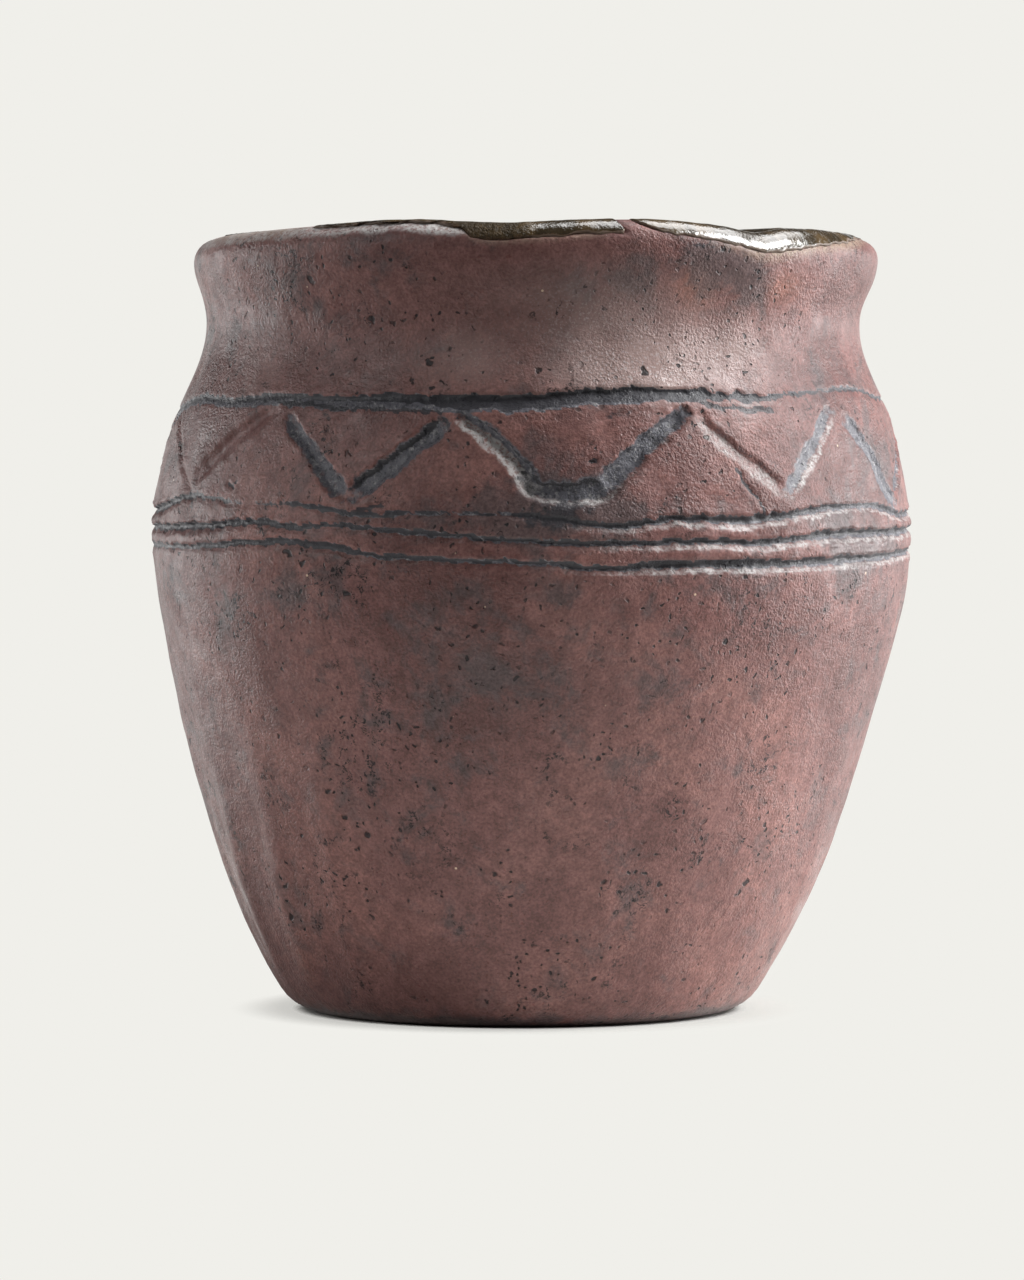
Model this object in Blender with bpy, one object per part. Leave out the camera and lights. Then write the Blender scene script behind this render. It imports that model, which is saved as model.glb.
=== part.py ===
"""Handleless hand-built clay cup with an incised zigzag band and a glazed inside and lip.

Metres, +Z up. The origin is on the table, at the middle of the flat the cup stands on.
Angles run round the cup from the front (-Y), growing towards +X.
"""
import bisect
import math

import bmesh
import bpy

# Heights of the outside, each measured from the one before, starting at the table
HAUNCH_HEIGHT = 0.0340  # table to the haunch, where the lower wall starts to round over
BELLY_RISE = 0.0220  # haunch to the widest part of the belly
SHOULDER_RISE = 0.0120  # belly to the turn of the shoulder
NECK_RISE = 0.0128  # shoulder to the narrowest part of the neck
LIP_RISE = 0.0083  # neck to the widest part of the lip

# Outside radius of the belly, and how far inside it the other heights lie
BELLY_RADIUS = 0.0449
HAUNCH_INSET = 0.0044
SHOULDER_INSET = 0.0022
NECK_INSET = 0.0062
LIP_INSET = 0.0045

# Foot
FOOT_WIDTH = 0.0066  # flat of the wall on the table, round the slab
FOOT_ROUND = 0.0030  # radius thumbed onto the outside edge of the foot
FOOT_FLARE = math.radians(30)  # lean of the wall where it leaves the foot

# Clay and glaze
WALL = 0.0052  # finished wall, glaze included
FLOOR = 0.0070  # finished floor, glaze included
SLAB_RADIUS = 0.0200  # top edge of the floor slab, where the inside corner starts
SLAB_TAPER = 0.0015  # how much narrower the slab is at the table, so that it seats in the wall
CORNER_RISE = 0.0080  # height of the rounded inside corner above the floor
CORNER_FULLNESS = 0.6  # pull of the corner's curve towards floor and wall, 0 straight, 1 square
GLAZE = 0.0006  # thickness of the glaze
SEAM_GAP = 0.0003  # clearance between pieces that touch

# Glaze over the lip
LIP_GLAZE_OUTSIDE = 0.0019  # drop of the lip glaze below the crest, outside
LIP_GLAZE_INSIDE = 0.0042  # drop of the lip glaze below the crest, inside

# Three scratched lines round the belly, lowest first
LINE_COUNT = 3
LINE_DROP = 0.0019  # belly down to the middle of the lowest line
LINE_WIDTH = 0.0011
LINE_DEPTH = 0.0006
LINE_LAND = 0.0013  # raised strip between two lines

# Zigzag and the heavy line above it
STROKE_WIDTH = 0.0019  # width across a zigzag stroke
STROKE_DEPTH = 0.0008
ZIGZAG_RISE = 0.0083  # middle of the groove, valley to peak
LAND_UNDER_ZIGZAG = 0.0012
LAND_OVER_ZIGZAG = 0.0006
TOP_LINE_WIDTH = 0.0014
TOP_LINE_DEPTH = 0.0010
GROOVE_FLOOR = 0.4  # share of a heavy groove's width that is flat at the bottom

# Corners of the zigzag across the front in degrees, valley first, then every second one a peak
FRONT_CORNERS = (-63, -44.5, -28.5, -12, 6, 24.5, 41, 56.5, 73)
BACK_STROKES = 12  # equal strokes that close the band round the back
COLUMNS_PER_STROKE = 4

# What the maker's hands left
LEAN = 0.0021  # sideways drift of the crest towards +X
OVAL = 0.0003  # swell of the two-sided and three-sided unevenness
OVAL_TURN = math.radians(35)
BAND_WANDER = 0.0003  # rise and fall of the scratched band
LINES_TILT = 0.0006  # how much higher the three lines run at -X than at the front
LIP_WAVE = (  # angle in degrees, height of the crest there
    (-68, -0.0005),
    (-45, 0.0002),
    (-21, 0.0009),
    (-6, 0.0005),
    (9, 0.0009),
    (20, 0.0009),
    (34, 0.0001),
    (40, -0.0005),
    (47, -0.0001),
    (62, -0.0002),
    (85, -0.0006),
    (125, 0.0004),
    (165, -0.0003),
    (205, 0.0005),
    (250, -0.0003),
)

# Rings of facets along each stretch
FOOT_RINGS = 3
LOWER_WALL_RINGS = 7
NECK_RINGS = 5
CORNER_RINGS = 3
INNER_WALL_RINGS = 6
NOSE_RINGS = 3  # on each side of the crest

# Finishes: colour in linear light, then roughness
RED_CLAY = ((0.19, 0.085, 0.065, 1.0), 0.55)
LINING_OLIVE = ((0.060, 0.040, 0.018, 1.0), 0.10)
LIP_OLIVE = ((0.045, 0.030, 0.014, 1.0), 0.14)
SHARP_EDGE = math.radians(40)  # edges that bend more than this are shaded as creases

# Heights and sizes that follow from the ones above
BELLY_HEIGHT = HAUNCH_HEIGHT + BELLY_RISE
SHOULDER_HEIGHT = BELLY_HEIGHT + SHOULDER_RISE
NECK_HEIGHT = SHOULDER_HEIGHT + NECK_RISE
LIP_HEIGHT = NECK_HEIGHT + LIP_RISE
HAUNCH_RADIUS = BELLY_RADIUS - HAUNCH_INSET
SHOULDER_RADIUS = BELLY_RADIUS - SHOULDER_INSET
NECK_RADIUS = BELLY_RADIUS - NECK_INSET
LIP_RADIUS = BELLY_RADIUS - LIP_INSET
BASE_RADIUS = SLAB_RADIUS - SLAB_TAPER + SEAM_GAP + FOOT_WIDTH  # flat that touches the table
NOSE = WALL / 2  # the lip is rolled to a half round as thick as the wall
CREST = LIP_HEIGHT + NOSE
FOOT_TOP = FOOT_ROUND * (1 - math.sin(FOOT_FLARE))
FOOT_RADIUS = BASE_RADIUS + FOOT_ROUND * math.cos(FOOT_FLARE)


def bessel_slope(before, here, after):
    """Slope of the parabola through three (height, radius) stations, at the middle one."""
    below = (here[1] - before[1]) / (here[0] - before[0])
    above = (after[1] - here[1]) / (after[0] - here[0])
    low_span = here[0] - before[0]
    high_span = after[0] - here[0]
    return (below * high_span + above * low_span) / (low_span + high_span)


def outside_stations():
    """(height, radius, slope) of the outside, from the top of the foot edge to the lip."""
    foot = (FOOT_TOP, FOOT_RADIUS)
    haunch = (HAUNCH_HEIGHT, HAUNCH_RADIUS)
    belly = (BELLY_HEIGHT, BELLY_RADIUS)
    shoulder = (SHOULDER_HEIGHT, SHOULDER_RADIUS)
    neck = (NECK_HEIGHT, NECK_RADIUS)
    lip = (LIP_HEIGHT, LIP_RADIUS)
    return (
        (*foot, math.tan(FOOT_FLARE)),
        (*haunch, bessel_slope(foot, haunch, belly)),
        (*belly, 0.0),
        (*shoulder, bessel_slope(belly, shoulder, neck)),
        (*neck, 0.0),
        (*lip, 0.0),
    )


STATIONS = outside_stations()
STATION_HEIGHTS = [station[0] for station in STATIONS]


def outer_radius(height):
    """Radius of the outside before any scratching: one cubic between each two stations."""
    index = bisect.bisect_right(STATION_HEIGHTS, height) - 1
    index = min(max(index, 0), len(STATIONS) - 2)
    low_z, low_r, low_slope = STATIONS[index]
    high_z, high_r, high_slope = STATIONS[index + 1]
    span = high_z - low_z
    t = (height - low_z) / span
    low_share = (1 + 2 * t) * (1 - t) ** 2
    return (
        low_share * low_r
        + (1 - low_share) * high_r
        + span * t * (1 - t) * ((1 - t) * low_slope - t * high_slope)
    )


def zigzag_columns():
    """Angle of each column of facets, and how far up the zigzag its groove is, 0 at a valley, 1 at a peak."""
    corners = [math.radians(degrees) for degrees in FRONT_CORNERS]
    back_step = (corners[0] + 2 * math.pi - corners[-1]) / BACK_STROKES
    corners += [corners[-1] + back_step * (i + 1) for i in range(BACK_STROKES)]
    columns = []
    for stroke, (start, end) in enumerate(zip(corners, corners[1:])):
        for step in range(COLUMNS_PER_STROKE):
            share = step / COLUMNS_PER_STROKE
            climb = share if stroke % 2 == 0 else 1 - share
            columns.append((start + (end - start) * share, climb))
    return columns


COLUMNS = zigzag_columns()


def lip_wave(angle):
    """Height of the hand-pressed crest above its mean, eased between the pressed places."""
    degrees = (math.degrees(angle) - LIP_WAVE[0][0]) % 360 + LIP_WAVE[0][0]
    places = LIP_WAVE + ((LIP_WAVE[0][0] + 360, LIP_WAVE[0][1]),)
    for (start, low), (end, high) in zip(places, places[1:]):
        if degrees <= end:
            t = (degrees - start) / (end - start)
            return low + (high - low) * t * t * (3 - 2 * t)
    return LIP_WAVE[0][1]


def by_hand(radius, height, angle):
    """The place of a turned point once the cup has leaned and lost its true round."""
    uneven = math.cos(2 * (angle - OVAL_TURN)) + math.cos(3 * angle)
    radius += OVAL * uneven * radius / BELLY_RADIUS
    rise = min(max((height - NECK_HEIGHT) / LIP_RISE, 0.0), 1.0)
    return (
        radius * math.sin(angle) + LEAN * height / CREST,
        -radius * math.cos(angle),
        height + lip_wave(angle) * rise * rise * (3 - 2 * rise),
    )


def level_ring(radius, height):
    """A ring of the same radius and height at every column."""
    return [(radius, height)] * len(COLUMNS)


def scratched_rings():
    """Rings of the scratched band, from under the lowest line to over the top line."""
    stroke_run = math.pi * SHOULDER_RADIUS / (len(COLUMNS) / COLUMNS_PER_STROKE / 2)
    stroke_half = STROKE_WIDTH / 2 * math.hypot(1, ZIGZAG_RISE / stroke_run)
    line_pitch = LINE_WIDTH + LINE_LAND
    lowest = BELLY_HEIGHT - LINE_DROP
    lines_top = lowest + line_pitch * (LINE_COUNT - 1) + LINE_WIDTH / 2
    valley = lines_top + LAND_UNDER_ZIGZAG + stroke_half
    top_line = valley + ZIGZAG_RISE + stroke_half + LAND_OVER_ZIGZAG + TOP_LINE_WIDTH / 2

    cuts = []
    for line in range(LINE_COUNT):
        middle = lowest + line_pitch * line
        cuts.append((middle - LINE_WIDTH / 2, 0.0, 0.0))
        cuts.append((middle, 0.0, LINE_DEPTH))
        cuts.append((middle + LINE_WIDTH / 2, 0.0, 0.0))
    heavy_groove = ((-1, 0), (-GROOVE_FLOOR, 1), (GROOVE_FLOOR, 1), (1, 0))
    for offset, cut in heavy_groove:
        cuts.append((valley + offset * stroke_half, ZIGZAG_RISE, cut * STROKE_DEPTH))
    rings = [scratched_ring(*cut, tilted=True) for cut in cuts]
    for offset, cut in heavy_groove:
        height = top_line + offset * TOP_LINE_WIDTH / 2
        rings.append(scratched_ring(height, 0.0, cut * TOP_LINE_DEPTH, tilted=False))
    return rings


def scratched_ring(base_height, climb_height, depth, tilted):
    """One ring of the band, at a depth in the clay, that wanders as the hand did."""
    ring = []
    for angle, climb in COLUMNS:
        height = base_height + climb_height * climb
        height += BAND_WANDER * (math.sin(2 * angle + 0.5) + 0.5 * math.sin(5 * angle))
        if tilted:
            climbed = climb if climb_height else 0.0
            height -= LINES_TILT * math.sin(angle) * (1 - climbed)
        ring.append((outer_radius(height) - depth, height))
    return ring


def spread(start, end, count):
    """Heights from start towards end, both left out."""
    return [start + (end - start) * (i + 1) / (count + 1) for i in range(count)]


def wall_point(height, inside):
    """Point of the finished wall or of its rolled lip, as (radius, height)."""
    if height > LIP_HEIGHT:
        half_chord = math.sqrt(max(NOSE ** 2 - (height - LIP_HEIGHT) ** 2, 0.0))
        return (LIP_RADIUS - NOSE + (-half_chord if inside else half_chord), height)
    return (outer_radius(height) - (WALL if inside else 0.0), height)


def outside_rings(top):
    """The whole outside of the clay, from the flat of the foot up to a height on the lip."""
    rings = []
    for step in range(FOOT_RINGS + 1):
        turn = (math.pi / 2 - FOOT_FLARE) * step / FOOT_RINGS
        radius = BASE_RADIUS + FOOT_ROUND * math.sin(turn)
        rings.append(level_ring(radius, FOOT_ROUND * (1 - math.cos(turn))))
    band = scratched_rings()
    band_low = min(height for _, height in band[0])
    band_high = max(height for _, height in band[-1])
    for height in spread(FOOT_TOP, band_low, LOWER_WALL_RINGS):
        rings.append(level_ring(*wall_point(height, inside=False)))
    rings += band
    for height in spread(band_high, top, NECK_RINGS) + [top]:
        rings.append(level_ring(*wall_point(height, inside=False)))
    return rings


def corner_profile():
    """Rounded inside corner from the edge of the flat floor up to the wall, as (radius, height)."""
    top = FLOOR + CORNER_RISE
    wall_radius = outer_radius(top) - WALL
    wall_lean = (outer_radius(top) - outer_radius(FLOOR)) / CORNER_RISE
    edge = SLAB_RADIUS + SEAM_GAP
    pull = CORNER_RISE * CORNER_FULLNESS
    controls = (
        (edge, FLOOR),
        (edge + (wall_radius - edge) * CORNER_FULLNESS, FLOOR),
        (wall_radius - wall_lean * pull, top - pull),
        (wall_radius, top),
    )
    profile = []
    for step in range(CORNER_RINGS):
        t = step / CORNER_RINGS
        shares = ((1 - t) ** 3, 3 * t * (1 - t) ** 2, 3 * t ** 2 * (1 - t), t ** 3)
        radius = sum(share * control[0] for share, control in zip(shares, controls))
        height = sum(share * control[1] for share, control in zip(shares, controls))
        profile.append((radius, height))
    return profile


def lining_profile():
    """Finished inside from the edge of the flat floor up to the lip glaze, as (radius, height)."""
    low = FLOOR + CORNER_RISE
    top = CREST - LIP_GLAZE_INSIDE - SEAM_GAP
    heights = [low] + spread(low, top, INNER_WALL_RINGS) + [top]
    return corner_profile() + [wall_point(height, inside=True) for height in heights]


def lip_profile():
    """Finished lip under its own glaze, from inside over the crest to outside, as (radius, height)."""
    eased = [1 - math.cos(math.pi / 2 * step / NOSE_RINGS) for step in range(NOSE_RINGS + 1)]
    inside = [wall_point(CREST - LIP_GLAZE_INSIDE * share, inside=True) for share in eased]
    outside = [wall_point(CREST - LIP_GLAZE_OUTSIDE * share, inside=False) for share in eased]
    return inside[:0:-1] + outside


def sunk(profile, depth):
    """The profile moved into the clay by a depth, square to itself."""
    moved = []
    for index, (radius, height) in enumerate(profile):
        before = profile[max(index - 1, 0)]
        after = profile[min(index + 1, len(profile) - 1)]
        along = (after[0] - before[0], after[1] - before[1])
        length = math.hypot(*along)
        moved.append((radius + depth * along[1] / length, height - depth * along[0] / length))
    return moved


def finish(name, colour, roughness):
    """Material of one piece."""
    material = bpy.data.materials.new(name)
    material.use_nodes = True
    shader = material.node_tree.nodes["Principled BSDF"]
    shader.inputs["Base Color"].default_value = colour
    shader.inputs["Roughness"].default_value = roughness
    shader.inputs["Metallic"].default_value = 0.0
    material.diffuse_color = colour
    return material


def loft(name, rings, ring_section, look, parent):
    """Skins the rings in order; a ring section closes on its first ring, any other is capped flat."""
    solid = bmesh.new()
    loops = []
    for ring in rings:
        places = (by_hand(r, z, angle) for (r, z), (angle, _) in zip(ring, COLUMNS))
        loops.append([solid.verts.new(place) for place in places])
    neighbours = list(zip(loops, loops[1:]))
    if ring_section:
        neighbours.append((loops[-1], loops[0]))
    else:
        solid.faces.new(loops[0])
        solid.faces.new(loops[-1])
    for low, high in neighbours:
        for column in range(len(COLUMNS)):
            following = (column + 1) % len(COLUMNS)
            solid.faces.new((low[column], low[following], high[following], high[column]))
    bmesh.ops.recalc_face_normals(solid, faces=solid.faces)
    mesh = bpy.data.meshes.new(name)
    solid.to_mesh(mesh)
    solid.free()
    mesh.shade_smooth()
    mesh.set_sharp_from_angle(angle=SHARP_EDGE)
    mesh.materials.append(finish(name, *look))
    piece = bpy.data.objects.new(name, mesh)
    piece.parent = parent
    bpy.context.scene.collection.objects.link(piece)


def level_rings(profile):
    return [level_ring(radius, height) for radius, height in profile]


def clay_wall(parent):
    """The wall: scratched outside, rolled lip, inside cut back for the glaze, and the seat of the slab."""
    bed = GLAZE + SEAM_GAP
    rings = outside_rings(CREST - LIP_GLAZE_OUTSIDE - SEAM_GAP)
    rings += level_rings(reversed(sunk(lip_profile(), bed)))
    rings += level_rings(reversed(sunk(lining_profile(), bed)))
    rings.append(level_ring(SLAB_RADIUS - SLAB_TAPER + SEAM_GAP, 0.0))
    loft("clay_wall", rings, True, RED_CLAY, parent)


def base_slab(parent):
    """The floor slab: a tapered disc that seats in the foot of the wall, flush with it on the table."""
    rings = [
        level_ring(SLAB_RADIUS - SLAB_TAPER, 0.0),
        level_ring(SLAB_RADIUS, FLOOR - GLAZE - SEAM_GAP),
    ]
    loft("base_slab", rings, False, RED_CLAY, parent)


def glaze_lining(parent):
    """The glaze poured inside, from the floor up to the lip."""
    face = lining_profile()
    back = sunk(face, GLAZE)
    loft("glaze_lining", level_rings(back + face[::-1]), False, LINING_OLIVE, parent)


def lip_glaze(parent):
    """The glaze laid over the lip, flush with the clay outside and with the lining inside."""
    face = lip_profile()
    back = sunk(face, GLAZE)
    loft("lip_glaze", level_rings(face + back[::-1]), True, LIP_OLIVE, parent)


def main():
    for old in list(bpy.data.objects):
        bpy.data.objects.remove(old, do_unlink=True)
    cup = bpy.data.objects.new("cup", None)
    bpy.context.scene.collection.objects.link(cup)
    clay_wall(cup)
    base_slab(cup)
    glaze_lining(cup)
    lip_glaze(cup)


main()
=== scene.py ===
"""Looks of a handleless hand-built cup of red clay.

It has a scratched zigzag band, and is glazed inside and over the lip. Metres, +Z up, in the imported
model's frame. Angles run round the cup from the front (-Y), growing towards +X. The tables of what the
maker's hands did are in degrees and millimetres.
"""
import math

import bpy
import numpy as np
from bpy.props import FloatProperty, FloatVectorProperty, PointerProperty
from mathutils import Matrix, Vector, noise


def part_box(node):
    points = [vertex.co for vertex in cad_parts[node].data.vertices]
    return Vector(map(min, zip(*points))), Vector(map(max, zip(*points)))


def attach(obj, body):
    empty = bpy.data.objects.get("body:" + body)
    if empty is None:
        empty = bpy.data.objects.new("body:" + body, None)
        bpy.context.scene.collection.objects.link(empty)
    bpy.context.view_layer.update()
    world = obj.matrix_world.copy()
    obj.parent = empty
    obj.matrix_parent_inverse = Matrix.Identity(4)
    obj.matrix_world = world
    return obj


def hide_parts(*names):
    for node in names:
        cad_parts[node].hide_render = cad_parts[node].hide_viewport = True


bl_info = {
    "name": "Scratched Clay Cup",
    "version": (1, 0, 0),
    "blender": (4, 5, 0),
    "location": "3D View > Sidebar > Clay Cup",
    "description": "Dresses a hand-built clay cup: scratched band, clay surface, glazed inside and lip",
    "category": "Object",
}

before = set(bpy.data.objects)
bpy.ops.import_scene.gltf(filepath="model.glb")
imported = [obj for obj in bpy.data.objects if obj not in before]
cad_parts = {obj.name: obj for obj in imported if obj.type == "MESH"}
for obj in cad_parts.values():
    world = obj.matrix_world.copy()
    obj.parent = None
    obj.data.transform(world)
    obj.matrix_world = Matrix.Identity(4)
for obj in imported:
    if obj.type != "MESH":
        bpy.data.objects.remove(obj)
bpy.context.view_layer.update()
SLAB_LOW, SLAB_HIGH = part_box("base_slab")
LINING_LOW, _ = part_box("glaze_lining")
SLAB_RADIUS = (SLAB_HIGH.x - SLAB_LOW.x) / 2
MM = 0.001

# Hand-pressed crest of the lip: angle, height above its mean
LIP_WAVE = (
    (-95, -1), (-68, -0.5), (-45, 0.2), (-21, 0.9), (-6, 0.5), (9, 0.9), (20, 0.9), (34, 0.1),
    (40, -0.5), (47, -0.1), (60, -0.2), (72, -0.6), (84, -1.1), (100, -0.7), (125, 0.4), (165, -0.3),
    (205, 0.5), (250, -0.3),
)

# Scratched lines: angle, height of the groove
TOP_LINE = (
    (-84, 70.9), (-72, 72.1), (-56, 72), (-46, 72.6), (-36, 72.4), (-22, 72.5), (-12, 72.2), (1, 72.1),
    (7, 72.5), (21, 72.8), (32, 72.6), (38, 72.3), (44, 72.7), (69, 73), (78, 72.2), (105, 72.4),
    (140, 72.8), (175, 72), (215, 72.4), (250, 71.7),
)
UPPER_LINE = (
    (-77, 59.4), (-62, 61), (-56, 60.8), (-44, 60.3), (-37, 60.4), (-33, 60.1), (-27, 59.4),
    (-16, 59.7), (-1, 59.5), (3, 59.2), (13, 58.2), (19, 59), (35, 58.8), (44, 59.5), (63, 59.9),
    (73, 58.9), (100, 59.3), (140, 59.8), (180, 59.1), (225, 60),
)
MIDDLE_LINE = (
    (-84, 57), (-54, 57.8), (-46, 58.3), (-36, 57.9), (-31, 58.2), (-22, 57.7), (-12, 57.3), (-4, 56.8),
    (11, 56.3), (23, 56.5), (37, 56.3), (48, 56.8), (77, 56.8), (115, 57), (160, 56.6), (200, 57.4),
    (240, 57),
)
LOWER_LINE = (
    (-65, 55.1), (-30, 55.6), (-26, 55.1), (-12, 54.5), (1, 54.2), (10, 53.5), (17, 53.8), (39, 53.8),
    (61, 54), (78, 54.3), (120, 54.6), (165, 54.1), (210, 54.9), (255, 54.8),
)

# How hard each line is pressed: angle, share of its full depth
TOP_PRESS = (
    (-84, 0.35), (-62, 0.35), (-46, 0.5), (-36, 0.7), (-22, 0.9), (-10, 1.1), (4, 1.1), (20, 0.9),
    (28, 0.7), (36, 0.6), (44, 0.35), (60, 0.3), (78, 0.35), (130, 0.9), (200, 1),
)
UPPER_PRESS = (
    (-77, 0.9), (-62, 0.5), (-48, 0.2), (-38, 0.3), (-30, 0.6), (-24, 0.45), (-15, 0.3), (0, 0.4),
    (9, 0.6), (16, 0.9), (45, 1), (56, 0.5), (75, 0.7), (140, 0.9), (220, 0.8),
)
MIDDLE_PRESS = (
    (-84, 0.8), (-60, 1), (-44, 0.7), (-30, 0.5), (-15, 0.7), (0, 0.6), (15, 0.8), (30, 1.1), (77, 1),
    (150, 0.8), (230, 1),
)
LOWER_PRESS = (
    (-65, 0.6), (-45, 0.8), (-28, 1), (-15, 0.6), (0, 0.45), (8, 0.6), (16, 1), (78, 0.8), (150, 0.9),
    (230, 0.6),
)

# Where wash and black start across the heavy and the fine lines: angle, half-widths uphill from the middle;
# the black is partly painted shade on the undercut upper side
TOP_WASH = ((-84, -0.9), (20, -0.9), (30, -0.5), (42, 0.1), (75, 0.1), (130, -0.6), (200, -0.9))
FINE_WASH = ((-84, -0.1), (0, -0.2), (180, -0.3))
TOP_SOOT_AND_SHADE = (
    (-84, -0.4), (-46, -0.2), (-30, 0.1), (-14, -0.6), (0, -1), (22, -0.9), (31, -0.4), (42, -0.2),
    (70, -0.1), (130, -0.5), (200, -0.5),
)
FINE_SOOT_AND_SHADE = ((-84, -0.3), (-40, -0.2), (-20, 0), (5, 0.1), (20, 0), (70, 0.1), (150, 0.1), (230, 0.1))

# Zigzag strokes of the front, then small cuts: points as (angle, height), width at the start and the end,
# depth, share of dark wash, and where its wash and its black start, in half-widths uphill from its middle;
# the black is partly painted shade on the upper side
FRONT_STROKES = (
    (((-46, 70.8), (-54, 67.6), (-62, 63.6)), 2.8, 3, 0.6, 0, -2, 2),
    (((-42, 70.1), (-35.5, 66), (-29, 61.5)), 1.8, 2.5, 0.68, 0.75, -1.2, 0.8),
    (((-27, 61.8), (-20, 66), (-14, 69.4)), 2.8, 2.3, 0.78, 0.85, -1.2, 0.1),
    (((-11, 70.2), (-5, 67.2), (0, 63)), 2.2, 3, 0.95, 1, 0.1, 0.6),
    (((-1, 63.2), (1, 62.3), (6, 61.8), (11, 62.3)), 2.8, 2.8, 0.9, 1, -0.7, 0.5),
    (((10, 62.4), (18, 67.7), (24, 70.7)), 2.9, 2.5, 0.85, 0.9, -0.95, 0.6),
    (((26.5, 70.4), (28.5, 68.3), (34.5, 65), (40.5, 61.6)), 2, 2.4, 0.36, 0.55, 0.45, 0.85),
    (((42, 61.8), (48, 66.2), (54.5, 70.5)), 2.7, 2.5, 0.5, 0.8, -0.5, 0.9),
    (((59, 69.8), (65, 65.8), (69, 61.7), (72.5, 60)), 2.6, 2.4, 0.35, 0.85, -1.2, 0.9),
    (((32, 64.4), (33, 63.2), (36, 60), (37, 57.6)), 0.8, 0.7, 0.4, 0.8, -2, -2),
    (((27, 71.9), (30, 71.5), (35, 71.1), (41, 71)), 0.8, 0.8, 0.35, 1, -2, -2),
    (((-46, 71.9), (-40, 71.7), (-34, 71.4), (-21, 71.1), (-14, 70.9)), 0.8, 0.7, 0.3, 0.8, -2, -2),
    (((8.6, 65.5), (9.4, 65.6)), 0.8, 0.8, 0.6, 1, -2, -2),
    (((-53, 62.7), (-51.3, 62)), 0.9, 0.8, 0.4, 0.8, -2, -2),
    (((-51, 62.7), (-52.8, 62.2)), 0.8, 0.7, 0.35, 0.8, -2, -2),
    (((-41, 60.1), (-39.8, 60.9)), 0.8, 0.8, 0.45, 1, -2, -2),
    (((-27, 59.7), (-22, 60.4)), 0.9, 0.7, 0.4, 1, -2, -2),
    (((26.5, 73.3), (28.5, 73.5)), 0.9, 0.8, 0.6, 0.8, -2, -2),
    (((30.5, 72.8), (31.6, 73.1)), 0.9, 0.9, 0.6, 1, -2, -2),
    (((33.5, 72.7), (35, 72.9)), 0.8, 0.9, 0.55, 1, -2, -2),
    (((10, 70), (16, 71.2)), 1, 0.9, 0.2, 0.45, -2, -2),
)
# Equal strokes that close the zigzag round the back, from valley to valley
BACK_START = 73
BACK_END = 297
BACK_STROKES = 12
BACK_STEP = (BACK_END - BACK_START) / BACK_STROKES
BACK_VALLEY = 61.4
BACK_PEAK = 70.4
BACK_STROKE = (1.9, 2.1, 0.8, 0.9, -0.9, 0.5)
LAST_STROKE = (1.5, 1.5, 0.45, 0, -2, 2)

# Sides and burr of a groove
FINE_CUT = 1.2  # strokes narrower than this are plain cuts
FULL_DEPTH = 0.6 * MM  # from here down a groove raises a full burr
BURR_AWAY = 0.22 * MM  # from a groove's edge to the top of its burr
BURR_WIDTH = 0.24 * MM
UNDERCUT = 0.26 * MM  # width of the steep upper side of a line
UPPER_SLOPE = 0.6 * MM  # width of the sides of a stroke
LOWER_SLOPE = 0.8 * MM

# Lower edge of the lip glaze: angle, drop below the crest on the outside
LIP_EDGE = (
    (-150, 2), (-120, 0.8), (-100, -0.3), (-75, -0.4), (-55, -0.4), (-45, -0.3), (-40, 0.1), (-28, 0.2),
    (-16, 0.3), (-12.5, 0.8), (-10.5, 1.6), (-7, 1.9), (-2, 1.8), (4, 1.7), (9, 1.5), (11.5, 1.4),
    (12.7, 0.1), (16, 0.1), (16.8, 0.8), (20, 1.3), (28, 1.7), (34, 2), (40, 2.3), (46, 2.3), (52, 2),
    (58, 1.6), (65, 1.1), (71, 0.4), (77, -0.3), (92, -0.3), (110, 1.4), (140, 2.2), (165, 1),
    (185, 1.3),
)

BARE_PATCH = 14.5  # angle of the patch that the glaze has left bare
BARE_PATCH_REACH = 7  # degrees to either side
BARE_PATCH_SLANT = 3.4  # degrees that its foot lies sideways of its top

# Unevenness as sums of noise: height, size of the lumps, seed
HAND_SWELL = ((0.34, 34, 5), (0.16, 13, 6), (0.11, 4.5, 7))
RAGGED_GLAZE = ((0.26, 2.2, 12), (0.26, 0.8, 13))
GLAZE_LUMPS = ((0.06, 3, 14), (0.04, 1.2, 15))

# Dents and swells left by the maker's hands: angle, height, half-width, half-height, outward move
DENTS = (
    (-58, 20, 9, 9, -0.4), (-40, 15, 8, 8, -0.4), (-72, 30, 8, 8, -0.3), (30, 79, 7, 7, -0.3),
    (-30, 81, 6, 6, -0.2), (75, 13, 14, 12, 0.5), (-90, 47, 20, 11, -0.6), (90, 40, 20, 18, 0.5),
    (88, 80, 15, 7, -0.4), (140, 30, 11, 11, -0.4), (200, 45, 10, 10, -0.3), (255, 20, 10, 10, -0.4),
)
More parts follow.
